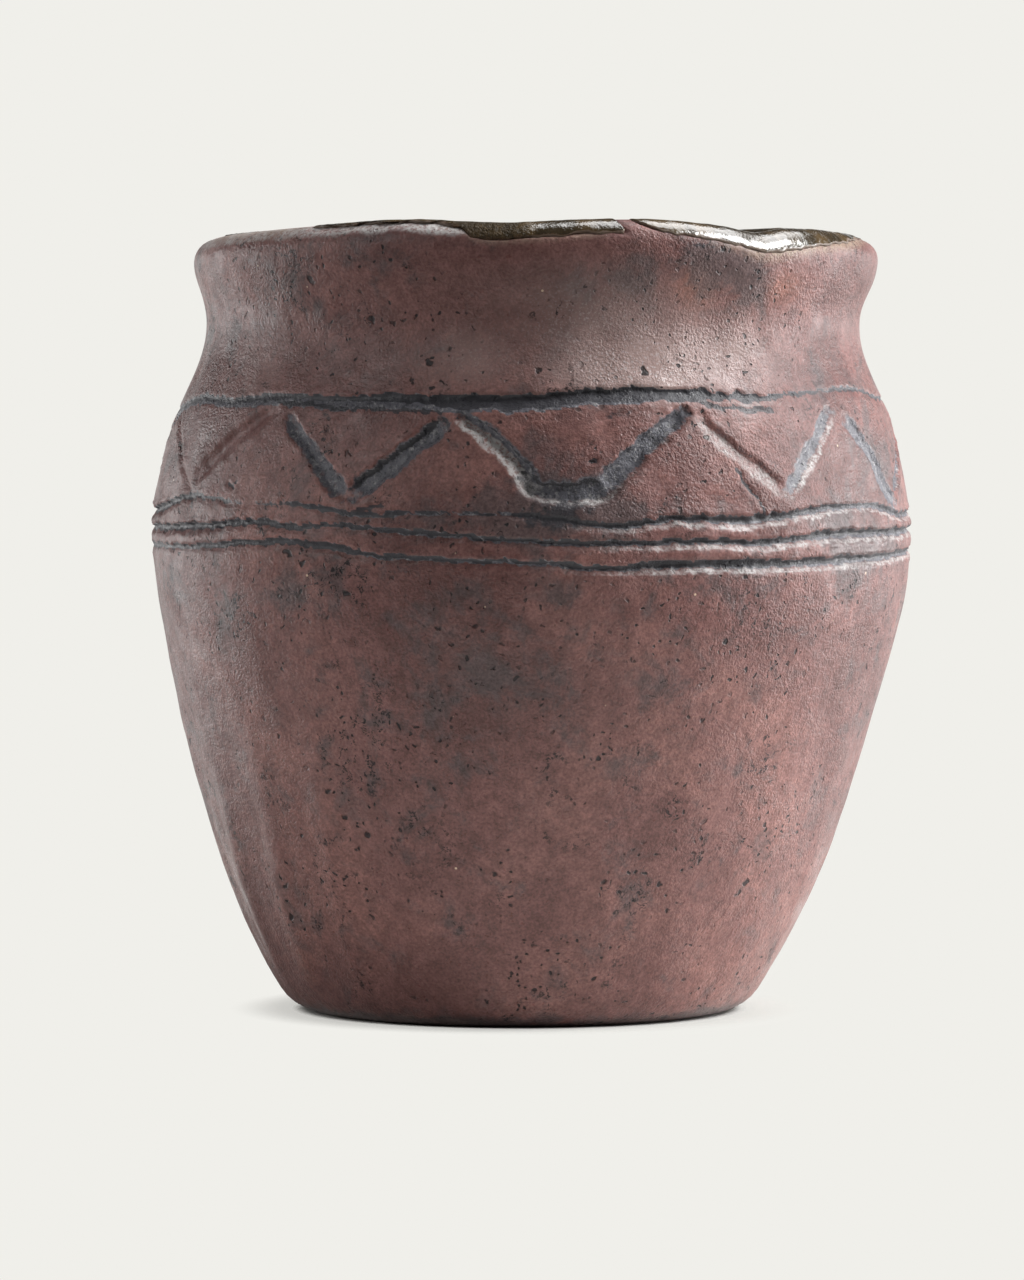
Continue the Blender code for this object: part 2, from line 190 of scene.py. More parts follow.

# Smoked and frosted patches of the clay: angle, height, half-width, half-height, strength;
# the frosted ones are partly painted highlights on the neck
SMOKED = (
    (3, 59.7, 9, 3.2, 1.7), (33, 52, 6, 4, 0.6), (6, 60.6, 6, 2, 0.8), (2, 48, 11, 8, 0.3),
    (4, 39, 10, 6, 0.3), (-14, 43, 8, 7, 0.7), (-37, 52.4, 5, 5, 0.5), (2, 66.2, 4, 4, 0.7),
    (20, 40, 6, 6, 0.4), (58, 55.5, 11, 5, 1.2), (66, 66, 7, 6, 0.9), (60, 77.5, 7, 6, 0.4),
    (30, 87.2, 6, 2.4, 1.3), (17, 85.5, 5, 3, 0.9), (38, 85, 3, 4, 1), (120, 50, 12, 8, 0.6),
    (165, 80, 10, 5, 0.6), (200, 35, 12, 9, 0.6), (250, 60, 9, 6, 0.5),
)
FROSTED_AND_HIGHLIT = (
    (8, 80, 8, 4.5, 0.9), (20, 78.5, 9, 4.5, 1), (36, 79, 6, 3, 0.6), (12, 75, 7, 2, 1.1),
    (21, 75, 7, 2, 1), (-54, 75.5, 6, 4.5, 0.5), (10, 83.5, 9, 3, 0.4), (33, 77, 8, 3.5, 0.7),
    (14, 78, 6, 4, 0.5), (-10, 77.5, 5, 3.5, 0.7), (-22, 76.5, 9, 3.5, 0.2), (150, 78, 10, 5, 0.5),
)
# Where the fired red is paler, or darker below nought; the patch on the left between shoulder and neck is a
# painted highlight
ROSY_AND_HIGHLIT = (
    (19, 51.2, 7, 4.5, 1), (-21, 11, 8, 5, 1.2), (-56, 6.5, 7, 6, 1.5), (27, 84.5, 4.5, 3.4, 2.2),
    (46, 85, 6, 3.4, 2), (8, 50, 7, 5, 0.4), (23, 64, 4.5, 4, -1), (62, 62, 11, 9, -1.5),
    (-60, 66, 9, 7, -0.8), (-38, 48, 9, 6, -0.5), (-40, 87, 8, 3, -0.4), (140, 40, 15, 12, 0.6),
    (220, 30, 15, 12, -0.6), (54, 82, 5, 2.2, 1), (57, 77.5, 9, 6, -2), (-54, 74.5, 6, 6, 1.2),
    (0, 87.5, 11, 4, 1), (-3, 44, 9, 8, -0.8), (4, 66.2, 6, 4.5, -0.7),
)
# Soot smeared beside the scratches and under the lip
STAINED = (
    (4, 60.3, 6, 1.7, 0.62), (3, 58.2, 5, 1.1, 0.45), (-20, 53.3, 6, 1, 0.35), (-34, 52.6, 7, 1, 0.32),
    (27, 89.1, 4, 0.5, 0.5), (30, 70, 5, 1.5, 0.25), (14, 70.8, 3.5, 0.8, 0.35), (190, 60, 9, 2, 0.3),
)
# Where the clay is most pitted
PITTED = (
    (-30, 30.5, 4, 6, 1), (-24, 37.8, 3, 4, 0.9), (-28, 52, 6, 2, 1.4), (-36, 50.8, 5, 3, 1.2),
    (-48, 48.2, 5, 4, 0.8), (-12, 37.8, 4, 4, 0.8), (22, 17.7, 5, 4, 0.8), (28, 39.5, 5, 5, 0.6),
    (-66, 80, 5, 6, 0.8), (-27, 83.6, 6, 4, 0.7), (27, 88, 5, 2, 0.5), (22, 81, 9, 5, 0.2),
    (34, 77, 8, 3, 0.3), (-8, 20.2, 6, 6, 0.6), (-45, 19.4, 6, 5, 0.7), (36, 49.6, 6, 4, 0.7),
    (-50, 85, 5, 3, 0.8), (10, 80, 8, 5, 0.2), (90, 40, 10, 9, 0.7), (150, 30, 9, 9, 0.8),
    (215, 50, 9, 7, 0.8), (270, 80, 8, 5, 0.8),
)

# Mesh: columns round the cup and rows along each stretch of the profile
WALL_COLUMNS = 352
FOOT_FLAT_ROWS = 3
FOOT_ROWS = 5
LOWER_ROWS = 38
BAND_ROWS = 40
NECK_ROWS = 28
NOSE_ROWS = 15
INNER_ROWS = 12
INNER_CORNER_ROWS = 4
SLAB_COLUMNS = 128
SLAB_ROWS = 16
LINING_COLUMNS = 256
LINING_FLOOR_ROWS = 12
LINING_CORNER_ROWS = 10
LINING_WALL_ROWS = 44
LIP_COLUMNS = 768
LIP_FACE_ROWS = 28
LIP_BACK_ROWS = 8
MERGE = 1e-6  # vertices closer than this are one

# Clearances and small forms
CLAY_GAP = 0.3 * MM  # clearance between pieces that touch
BAND_LOW = 52.2 * MM  # the stretch of wall that is meshed finely for the scratches
BAND_HIGH = 74.2 * MM
FACET_PITCH = math.radians(17)  # from one pared flat of the lower wall to the next
FACET_DEPTH = 0.42 * MM
GLAZE_BED = 0.4 * MM  # how far the lip's clay gives way to its glaze
RING_PITCH = 1.1 * MM  # finger rings inside, per radian of their wave
RING_DEPTH = 0.12 * MM
FOOT_REACH = 0.3  # how far the foot runs in below the slab's slanted edge, as a share of its own flat
SLAB_TAPER = 1.5 * MM
SLAB_EDGE = 0.4 * MM  # eased lower edge of the slab


def length(name, default, description):
    return FloatProperty(name=name, description=description, default=default, unit="LENGTH", precision=5)


def amount(name, default, description):
    return FloatProperty(name=name, description=description, default=default, min=0.0, precision=3)


def colour(name, default, description):
    return FloatVectorProperty(name=name, description=description, default=default, subtype="COLOR", size=4,
                               min=0.0, max=1.0)


def angle(name, degrees, description):
    return FloatProperty(name=name, description=description, default=math.radians(degrees), subtype="ANGLE")


class CupShape(bpy.types.PropertyGroup):
    """Turned form of the cup, and what the maker's hands did to it"""
    haunch_height: length("Haunch height", 0.0340, "Table to where the lower wall starts to round over")
    belly_height: length("Belly height", 0.0560, "Table to the widest part")
    shoulder_height: length("Shoulder height", 0.0680, "Table to the turn of the shoulder")
    neck_height: length("Neck height", 0.0808, "Table to the narrowest part of the neck")
    lip_height: length("Lip height", 0.0891, "Table to the widest part of the lip")
    haunch_radius: length("Haunch radius", 0.0405, "Outside radius at the haunch")
    belly_radius: length("Belly radius", 0.0449, "Outside radius at the belly")
    shoulder_radius: length("Shoulder radius", 0.0427, "Outside radius at the shoulder")
    neck_radius: length("Neck radius", 0.0387, "Outside radius at the neck")
    lip_radius: length("Lip radius", 0.0404, "Outside radius at the lip")
    base_radius: length("Base radius", 0.0239, "Flat that touches the table")
    foot_round: length("Foot round", 0.0050, "Radius thumbed onto the edge of the foot")
    foot_flare: angle("Foot flare", 30, "Lean of the wall where it leaves the foot")
    wall: length("Wall", 0.0052, "Thickness of the wall, glaze included")
    glaze: length("Glaze", 0.0006, "Thickness of the glaze")
    floor: length("Floor", LINING_LOW.z + 0.0006, "Table to the finished inside floor")
    corner_rise: length("Corner rise", 0.0080, "Height of the rounded inside corner")
    lip_inside: length("Lip glaze inside", 0.0042, "Drop of the lip glaze below the crest, inside")
    lean: length("Lean", 0.0021, "Sideways drift of the crest")
    oval: length("Oval", 0.0003, "Swell of the two-sided and three-sided unevenness")
    oval_turn: angle("Oval turn", 35, "Direction of the long side of the oval")


class ScratchedBand(bpy.types.PropertyGroup):
    """Grooves scratched into the shoulder"""
    line_width: length("Line width", 0.0016, "Width of the three fine lines")
    line_depth: length("Line depth", 0.0006, "Depth of the three fine lines")
    top_width: length("Top line width", 0.0020, "Width of the heavy line over the zigzag")
    top_depth: length("Top line depth", 0.0005, "Depth of the heavy line over the zigzag")
    burr: length("Burr", 0.00016, "Height of the clay pushed up beside a groove")
    ragged: length("Ragged edge", 0.00028, "How far a groove's edge wanders")


class CupFinish(bpy.types.PropertyGroup):
    """Colours and surface of the clay and the glaze"""
    deep_clay: colour("Deep clay", (0.121, 0.057, 0.052, 1), "Darkest red of the fired clay")
    red_clay: colour("Red clay", (0.169, 0.082, 0.075, 1), "Main red of the fired clay")
    rose_clay: colour("Rose clay", (0.216, 0.107, 0.095, 1), "Palest red of the fired clay")
    fired_orange: colour("Fired orange", (0.260, 0.108, 0.076, 1), "Brightest patches of the fired clay")
    # Also paints the shade along the bottom of the foot.
    smoke_and_shade: colour("Smoke", (0.075, 0.064, 0.066, 1), "Grey patches left by the kiln's smoke")
    pit: colour("Pits", (0.010, 0.010, 0.012, 1), "Open pits and cracks")
    wash: colour("Wash", (0.116, 0.115, 0.132, 1), "Charcoal wash in the scratches")
    # Partly painted shade: the black lies on the undercut upper side of the scratches, where shade falls.
    soot_and_shade: colour("Soot", (0.041, 0.040, 0.046, 1), "Black in the sharp upper edge of the scratches")
    # Partly painted highlight and sheen: pale grey on the scratches' lower side and along the left of the
    # lip.
    ash_and_highlight: colour("Ash", (0.450, 0.430, 0.420, 1), "Grey grains in the wash and under the lip")
    # Partly painted highlight: the paler skin and the pale grains of the neck stand for its sheen and
    # glints.
    bloom_and_highlight: colour("Bloom", (0.330, 0.235, 0.218, 1), "Paler skin of the clay where it is frosted")
    frost_and_highlight: colour("Frost", (0.550, 0.520, 0.520, 1), "Pale grains on the neck")
    speck: colour("Specks", (0.550, 0.420, 0.300, 1), "Pale specks of sand in the clay")
    tan: colour("Tan", (0.270, 0.200, 0.150, 1), "Bare clay beside the lip glaze")
    clay_grain: amount("Clay grain", 0.13, "Height of the fine grain in millimetres")
    thin_glaze: colour("Thin glaze", (0.085, 0.053, 0.022, 1), "Glaze where it runs thin")
    glaze_edge: colour("Glaze edge", (0.090, 0.052, 0.030, 1), "Dry brown edge where the glaze ends")
    thick_glaze: colour("Thick glaze", (0.030, 0.020, 0.009, 1), "Glaze where it pools")


class StudioStage(bpy.types.PropertyGroup):
    """Camera, lamps, floor and background"""
    camera_distance: length("Camera distance", 0.8855, "Camera to the cup's axis")
    camera_height: length("Camera height", 0.0836, "Camera above the table")
    aim: FloatVectorProperty(name="Aim", description="Direction the camera looks in", subtype="DIRECTION",
                             default=(-0.000933, 1.0, -0.04533), precision=6)
    lens: FloatProperty(name="Lens", description="Focal length", default=211.1, unit="CAMERA")
    backdrop: colour("Backdrop", (0.871, 0.863, 0.823, 1), "Pale colour behind the cup")
    room: colour("Room", (0.06, 0.06, 0.06, 1), "Dim side of the room, behind the camera")
    glow: colour("Glow", (0.95, 0.95, 0.93, 1), "Reflections of the room behind the cup")
    ambient: colour("Ambient", (0.09, 0.09, 0.09, 1), "Light that comes from all round")
    floor: colour("Floor", (0.80, 0.795, 0.765, 1), "Pale floor")
    floor_seen: colour("Floor in view", (0.515, 0.511, 0.489, 1), "Floor as the camera sees it")
    floor_radius: length("Floor radius", 0.15, "Size of the floor")
    top_radiance: amount("Top softbox", 5.6, "Brightness of the softbox overhead")
    key_radiance: amount("Key softbox", 22.3, "Brightness of the softbox high on the right")
    side_radiance: amount("Side softbox", 11.2, "Brightness of the level softbox on the right")
    left_radiance: amount("Left softbox", 3.9, "Brightness of the softbox on the left")
    rim_radiance: amount("Rim softboxes", 3.7, "Brightness of the low softboxes behind on both sides")


class ClayCup(bpy.types.PropertyGroup):
    """All settings of the cup"""
    shape: PointerProperty(type=CupShape)
    band: PointerProperty(type=ScratchedBand)
    finish: PointerProperty(type=CupFinish)
    stage: PointerProperty(type=StudioStage)


def cup():
    """Settings of the cup in the open scene."""
    return bpy.context.scene.clay_cup


# Form of the cup

def smooth(share):
    """Eases a share from 0 to 1."""
    share = np.clip(share, 0.0, 1.0)
    return share * share * (3 - 2 * share)


def around(places, at):
    """Smooth curve round the cup through (degrees, value) places, read at angles in radians."""
    degrees = np.array([place[0] for place in places], float)
    values = np.array([place[1] for place in places], float)
    order = np.argsort(degrees % 360)
    knots = (degrees % 360)[order]
    values = values[order]
    knots = np.concatenate((knots[-2:] - 360, knots, knots[:2] + 360))
    values = np.concatenate((values[-2:], values, values[:2]))
    return hermite(knots, values, np.gradient(values, knots), np.degrees(at) % 360)


def between(value, start, ease_in, end, ease_out):
    """Window from 0 to 1 that eases in after the start and out before the end."""
    return smooth((value - start) / ease_in) * smooth((end - value) / ease_out)


def hermite(knots, values, slopes, at):
    """Piecewise cubic through the knots with the given slopes."""
    index = np.clip(np.searchsorted(knots, at, side="right") - 1, 0, len(knots) - 2)
    span = knots[index + 1] - knots[index]
    t = (at - knots[index]) / span
    low_share = (1 + 2 * t) * (1 - t) ** 2
    bend = (1 - t) * slopes[index] - t * slopes[index + 1]
    return low_share * values[index] + (1 - low_share) * values[index + 1] + span * t * (1 - t) * bend


class TurnedForm:
    """The cup as turned, worked out from the shape's sizes."""

    def __init__(self, shape):
        self.shape = shape
        self.nose = shape.wall / 2
        self.crest = shape.lip_height + self.nose
        self.nose_radius = shape.lip_radius - self.nose
        self.foot_top = shape.foot_round * (1 - math.sin(shape.foot_flare))
        foot_radius = shape.base_radius + shape.foot_round * math.cos(shape.foot_flare)
        self.heights = np.array((self.foot_top, shape.haunch_height, shape.belly_height,
                                 shape.shoulder_height, shape.neck_height, shape.lip_height))
        self.radii = np.array((foot_radius, shape.haunch_radius, shape.belly_radius,
                               shape.shoulder_radius, shape.neck_radius, shape.lip_radius))
        slopes = np.gradient(self.radii, self.heights)
        self.slopes = np.array((math.tan(shape.foot_flare), slopes[1], 0.0, slopes[3], 0.0, 0.0))

    def outside(self, height):
        """Outside radius below the lip, before any scratching."""
        return hermite(self.heights, self.radii, self.slopes, np.asarray(height, float))

    def faces_out(self, radius, height):
        """Whether turned points lie on the outside of the wall."""
        height = np.minimum(height, self.shape.lip_height)
        return radius > self.outside(height) - self.shape.wall * 0.4

    def lip(self, run, lift):
        """Point on the lip: run along the surface from the crest, outside positive, and lift above it."""
        quarter = self.nose * math.pi / 2
        turn = math.pi / 2 - np.clip(run, -quarter, quarter) / self.nose
        past = np.maximum(np.abs(run) - quarter, 0.0)
        height = self.shape.lip_height - past
        shift = self.outside(height) - self.shape.lip_radius
        radius = self.nose_radius + shift + (self.nose + lift) * np.cos(turn)
        return radius, height + (self.nose + lift) * np.sin(turn)

    def corner(self, rows, depth=0.0):
        """Rounded inside corner from the edge of the floor up to the wall, sunk by a depth."""
        shape = self.shape
        edge = SLAB_RADIUS + CLAY_GAP
        top = shape.floor + shape.corner_rise
        wall = float(self.outside(top)) - shape.wall
        lean = (float(self.outside(top)) - float(self.outside(shape.floor))) / shape.corner_rise
        fullness = 0.6
        pull = shape.corner_rise * fullness
        pulls = ((edge, shape.floor), (edge + (wall - edge) * fullness, shape.floor),
                 (wall - lean * pull, top - pull), (wall, top))
        start, first, second, end = (np.array(place) for place in pulls)
        points = []
        for t in np.linspace(0, 1, rows + 1)[:-1]:
            place = (1 - t) ** 3 * start + 3 * t * (1 - t) ** 2 * first
            place += 3 * t ** 2 * (1 - t) * second + t ** 3 * end
            along = (1 - t) ** 2 * (first - start) + 2 * t * (1 - t) * (second - first)
            along += t ** 2 * (end - second)
            along /= np.hypot(*along)
            points.append((float(place[0] + depth * along[1]), float(place[1] - depth * along[0])))
        return points

    def by_hand(self, angle_round, radius, height):
        """Places of turned points once the cup has leaned and lost its true round."""
        shape = self.shape
        swell = np.cos(2 * (angle_round - shape.oval_turn)) + np.cos(3 * angle_round)
        radius = radius + shape.oval * swell * radius / shape.belly_radius
        rise = smooth((height - shape.neck_height) / (shape.lip_height - shape.neck_height))
        x = radius * np.sin(angle_round) + shape.lean * height / self.crest
        y = -radius * np.cos(angle_round)
        return np.stack((x, y, height + MM * around(LIP_WAVE, angle_round) * rise), axis=1)


# Modelling helpers

def spun(name, profile, columns, closed, marks=None):
    """Draws a profile point by point beside the axis and spins it round, as on a wheel."""
    bpy.ops.object.select_all(action="DESELECT")
    bpy.ops.mesh.primitive_plane_add(size=profile[0][0])
    piece = bpy.context.object
    piece.name = name
    piece.data.name = name
    bpy.ops.object.mode_set(mode="EDIT")
    bpy.ops.mesh.select_mode(type="VERT")
    bpy.ops.mesh.select_all(action="SELECT")
    bpy.ops.mesh.merge(type="CENTER")
    bpy.ops.transform.translate(value=(profile[0][0], 0, profile[0][1]))
    for before, after in zip(profile, profile[1:]):
        step = (after[0] - before[0], 0, after[1] - before[1])
        bpy.ops.mesh.extrude_vertices_move(TRANSFORM_OT_translate={"value": step})
    if closed:
        bpy.ops.object.mode_set(mode="OBJECT")
        last = len(profile) - 1
        for vertex in piece.data.vertices:
            vertex.select = vertex.index in (0, last)
        bpy.ops.object.mode_set(mode="EDIT")
        bpy.ops.mesh.edge_face_add()
    for mark, values in (marks or {}).items():
        bpy.ops.object.mode_set(mode="OBJECT")
        set_mask(piece, mark, np.array(values))
        bpy.ops.object.mode_set(mode="EDIT")
    bpy.ops.mesh.select_all(action="SELECT")
    bpy.ops.mesh.spin(steps=columns, angle=2 * math.pi, center=(0, 0, 0), axis=(0, 0, 1))
    bpy.ops.mesh.select_all(action="SELECT")
    bpy.ops.mesh.remove_doubles(threshold=MERGE)
    bpy.ops.mesh.normals_make_consistent(inside=False)
    bpy.ops.object.mode_set(mode="OBJECT")
    return piece


def points_of(piece):
    flat = np.empty(len(piece.data.vertices) * 3)
    piece.data.vertices.foreach_get("co", flat)
    return flat.reshape(-1, 3)


def place_points(piece, points):
    piece.data.vertices.foreach_set("co", points.ravel())
    piece.data.update()


def set_mask(piece, name, values):
    mask = piece.data.attributes.new(name, "FLOAT", "POINT")
    mask.data.foreach_set("value", values.astype(np.float32))


def take_mask(piece, name):
    """Reads a working mask and removes it."""
    mask = piece.data.attributes[name]
    values = np.empty(len(mask.data), np.float32)
    mask.data.foreach_get("value", values)
    piece.data.attributes.remove(mask)
    return values.astype(float)


def turned_places(points):
    """Angle round the cup, radius and height of points."""
    x, y, height = points.T
    return np.arctan2(x, -y), np.hypot(x, y), height


def wander(points, size, seed):
    """Smooth noise from -1 to 1 whose lumps are about that size."""
    shift = Vector((17.3, 5.9, 11.7)) * seed
    return np.array([noise.noise(Vector(point) / size + shift) for point in points])


def uneven(points, sums):
    """Sum of noises, from rows of (height, size, seed)."""
    return sum(height * MM * wander(points, size * MM, seed) for height, size, seed in sums)


def finish_piece(piece, material, node):
    """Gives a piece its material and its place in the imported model."""
    bpy.ops.object.select_all(action="DESELECT")
    piece.select_set(True)
    bpy.context.view_layer.objects.active = piece
    bpy.ops.object.shade_smooth()
    piece.data.materials.clear()
    piece.data.materials.append(material)
    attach(piece, "root")
    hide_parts(node)


# Scratches

def path_through(points, steps=6):
    """Smooth path through (angle, height) points, as (arc, height) on the unrolled shoulder."""
    knots = np.arange(len(points), dtype=float)
    arcs = np.radians([point[0] for point in points]) * cup().shape.shoulder_radius
    heights = np.array([point[1] for point in points]) * MM
    at = np.linspace(0, knots[-1], (len(points) - 1) * steps + 1)
    arc = hermite(knots, arcs, np.gradient(arcs), at)
    height = hermite(knots, heights, np.gradient(heights), at)
    return np.stack((arc, height), axis=1)


def nearest(arc, height, path):
    """Distance to a path, positive above it, and the share of its length at the nearest place."""
    best = np.full(len(arc), np.inf)
    side = np.ones(len(arc))
    share = np.zeros(len(arc))
    for number, (start, end) in enumerate(zip(path, path[1:])):
        run = end - start
        t = ((arc - start[0]) * run[0] + (height - start[1]) * run[1]) / (run @ run)
        t = np.clip(t, 0, 1)
        off_arc = arc - start[0] - t * run[0]
        off_height = height - start[1] - t * run[1]
        distance = np.hypot(off_arc, off_height)
        closer = distance < best
        best = np.where(closer, distance, best)
        side = np.where(closer, np.sign(off_height), side)
        share = np.where(closer, (number + t) / (len(path) - 1), share)
    return best * np.where(side < 0, -1.0, 1.0), share


def back_strokes():
    """Zigzag strokes round the back, at an equal pitch."""
    strokes = []
    for number in range(BACK_STROKES):
        start = BACK_START + BACK_STEP * number
        end = start + BACK_STEP
        rising = number % 2 == 0
        first, last = (BACK_VALLEY, BACK_PEAK) if rising else (BACK_PEAK, BACK_VALLEY)
        points = ((start + 1, first), ((start + end) / 2, (first + last) / 2), (end - 1, last))
        strokes.append((points,) + BACK_STROKE)
    strokes[-1] = (points,) + LAST_STROKE
    return tuple(strokes)


class Scratching:
    """Depth cut into the band, clay pushed up beside it and wash left in it, point by point."""

    def __init__(self, points, angle_round, height):
        band = cup().band
        self.burr_height = band.burr
        self.angle = angle_round
        self.height = height
        self.cut, self.burr, self.wash, self.soot_and_shade, self.ash_and_highlight = np.zeros((5, len(height)))
        self.edge_noise = wander(points, 1.6 * MM, 1) + 0.9 * wander(points, 0.6 * MM, 2)
        self.edge_noise *= band.ragged
        self.width_noise = 1 + 0.20 * wander(points, 4 * MM, 3) + 0.14 * wander(points, 1.3 * MM, 17)
        self.burr_noise = np.clip(0.35 + wander(points, 1.4 * MM, 4), 0, 1)
        self.floor_noise = 0.1 * MM * wander(points, 0.8 * MM, 16)

    def groove(self, offset, half_width, depth, slopes, wash, shades):
        """One groove: offset is measured across it, positive uphill.

        The shades are where, in half-widths from its middle, the wash and the black start, the black being
        partly painted shade on the undercut side; the share of pale grey below, partly a painted highlight;
        and how far the wash is smeared beyond its edges.
        """
        upper_slope, lower_slope = slopes
        wash_from, soot_and_shade_from, pale, smear = shades
        offset = offset + self.edge_noise * np.clip(0.25 + 2 * wash, 0, 1)
        half_width = half_width * self.width_noise
        uphill = smooth((half_width - offset) / upper_slope)
        downhill = smooth((half_width + offset) / lower_slope)
        inside = np.minimum(uphill, downhill)
        pressed = np.clip(depth / FULL_DEPTH, 0, 1)
        self.cut = np.maximum(self.cut, depth * inside)
        across = offset / half_width
        stained = wash * smooth((1 + smear - np.abs(across)) / (0.1 + 1.7 * smear))
        dark = smooth((across - wash_from) / 0.35)
        self.wash = np.maximum(self.wash, stained * dark)
        # Black along the upper, undercut side of the groove: partly painted shade.
        blackened = smooth(4 * inside) * smooth((across - soot_and_shade_from) / 0.3)
        self.soot_and_shade = np.maximum(self.soot_and_shade, wash * blackened)
        # Pale grey along the lower side, which faces up to the lamps: partly a painted highlight.
        lower_edge = smooth((across + 1.05) / 0.35) * smooth(2 * uphill)
        pale_by_depth = np.clip(2 * depth / FULL_DEPTH, 0, 1)
        self.ash_and_highlight = np.maximum(self.ash_and_highlight, pale * pale_by_depth * wash * lower_edge * (1 - dark))
        beside = (np.abs(offset) - half_width - BURR_AWAY) / BURR_WIDTH
        self.burr = np.maximum(self.burr, pressed * np.exp(-beside ** 2))

    def line(self, places, press, width, depth, shades):
        """A line right round the cup, undercut above and sloping below.

        Its places are the middle of its sooty part.
        """
        wash, soot_and_shade, pale = shades
        wash_from = around(wash, self.angle)
        soot_and_shade_from = around(soot_and_shade, self.angle)
        pressed = around(press, self.angle)
        half_width = width / 2 * (0.45 + 0.55 * pressed)
        offset = self.height - MM * around(places, self.angle) + half_width * (1 + soot_and_shade_from) / 2
        stain = smooth(pressed * 2.2)
        # The painted highlight along the lower side is weaker towards the left, away from the key lamp.
        lit = 0.4 + 0.6 * smooth(np.degrees(self.angle) / 25)
        slopes = (UNDERCUT, 1.5 * half_width)
        shades = (wash_from, soot_and_shade_from, pale * lit, 0.05)
        self.groove(offset, half_width, depth * pressed, slopes, stain, shades)

    def stroke(self, points, start_width, end_width, depth, wash, wash_from, soot_and_shade_from):
        """A short stroke with tapered ends."""
        path = path_through(points)
        shoulder = cup().shape.shoulder_radius
        arc = self.angle * shoulder
        if path[:, 0].max() > math.pi * shoulder:
            arc = arc % (2 * math.pi * shoulder)
        offset, share = nearest(arc, self.height, path)
        half_width = MM * (start_width + (end_width - start_width) * share) / 2
        blunt = 1.9 - 0.9 * min(1.0, 3 * wash)
        lower_slope = LOWER_SLOPE * blunt if wash_from < -0.6 else 1.4 * half_width
        shades = (3.0, soot_and_shade_from, 0.0, 0.0)
        if start_width > FINE_CUT:
            shades = (wash_from, soot_and_shade_from, 0.9, 0.5)
        ends = smooth(np.minimum(share, 1 - share) / 0.10)
        depth = MM * depth * (0.55 + 0.45 * ends)
        wash = wash * (0.6 + 0.4 * ends)
        self.groove(offset, half_width, depth, (UPPER_SLOPE * blunt, lower_slope), wash, shades)

    def scratch_all(self):
        band = cup().band
        self.line(TOP_LINE, TOP_PRESS, band.top_width, band.top_depth, (TOP_WASH, TOP_SOOT_AND_SHADE, 0.4))
        fine_lines = ((UPPER_LINE, UPPER_PRESS), (MIDDLE_LINE, MIDDLE_PRESS), (LOWER_LINE, LOWER_PRESS))
        for places, press in fine_lines:
            self.line(places, press, band.line_width, band.line_depth, (FINE_WASH, FINE_SOOT_AND_SHADE, 0.6))
        for stroke in FRONT_STROKES + back_strokes():
            self.stroke(*stroke)

    def lift(self):
        """Outward move of each point."""
        burr = self.burr_height * self.burr * self.burr_noise
        rough_floor = self.floor_noise * np.clip(self.cut / (0.4 * MM), 0, 1)
        return burr * (1 - smooth(self.wash)) - self.cut + rough_floor


# Nodes

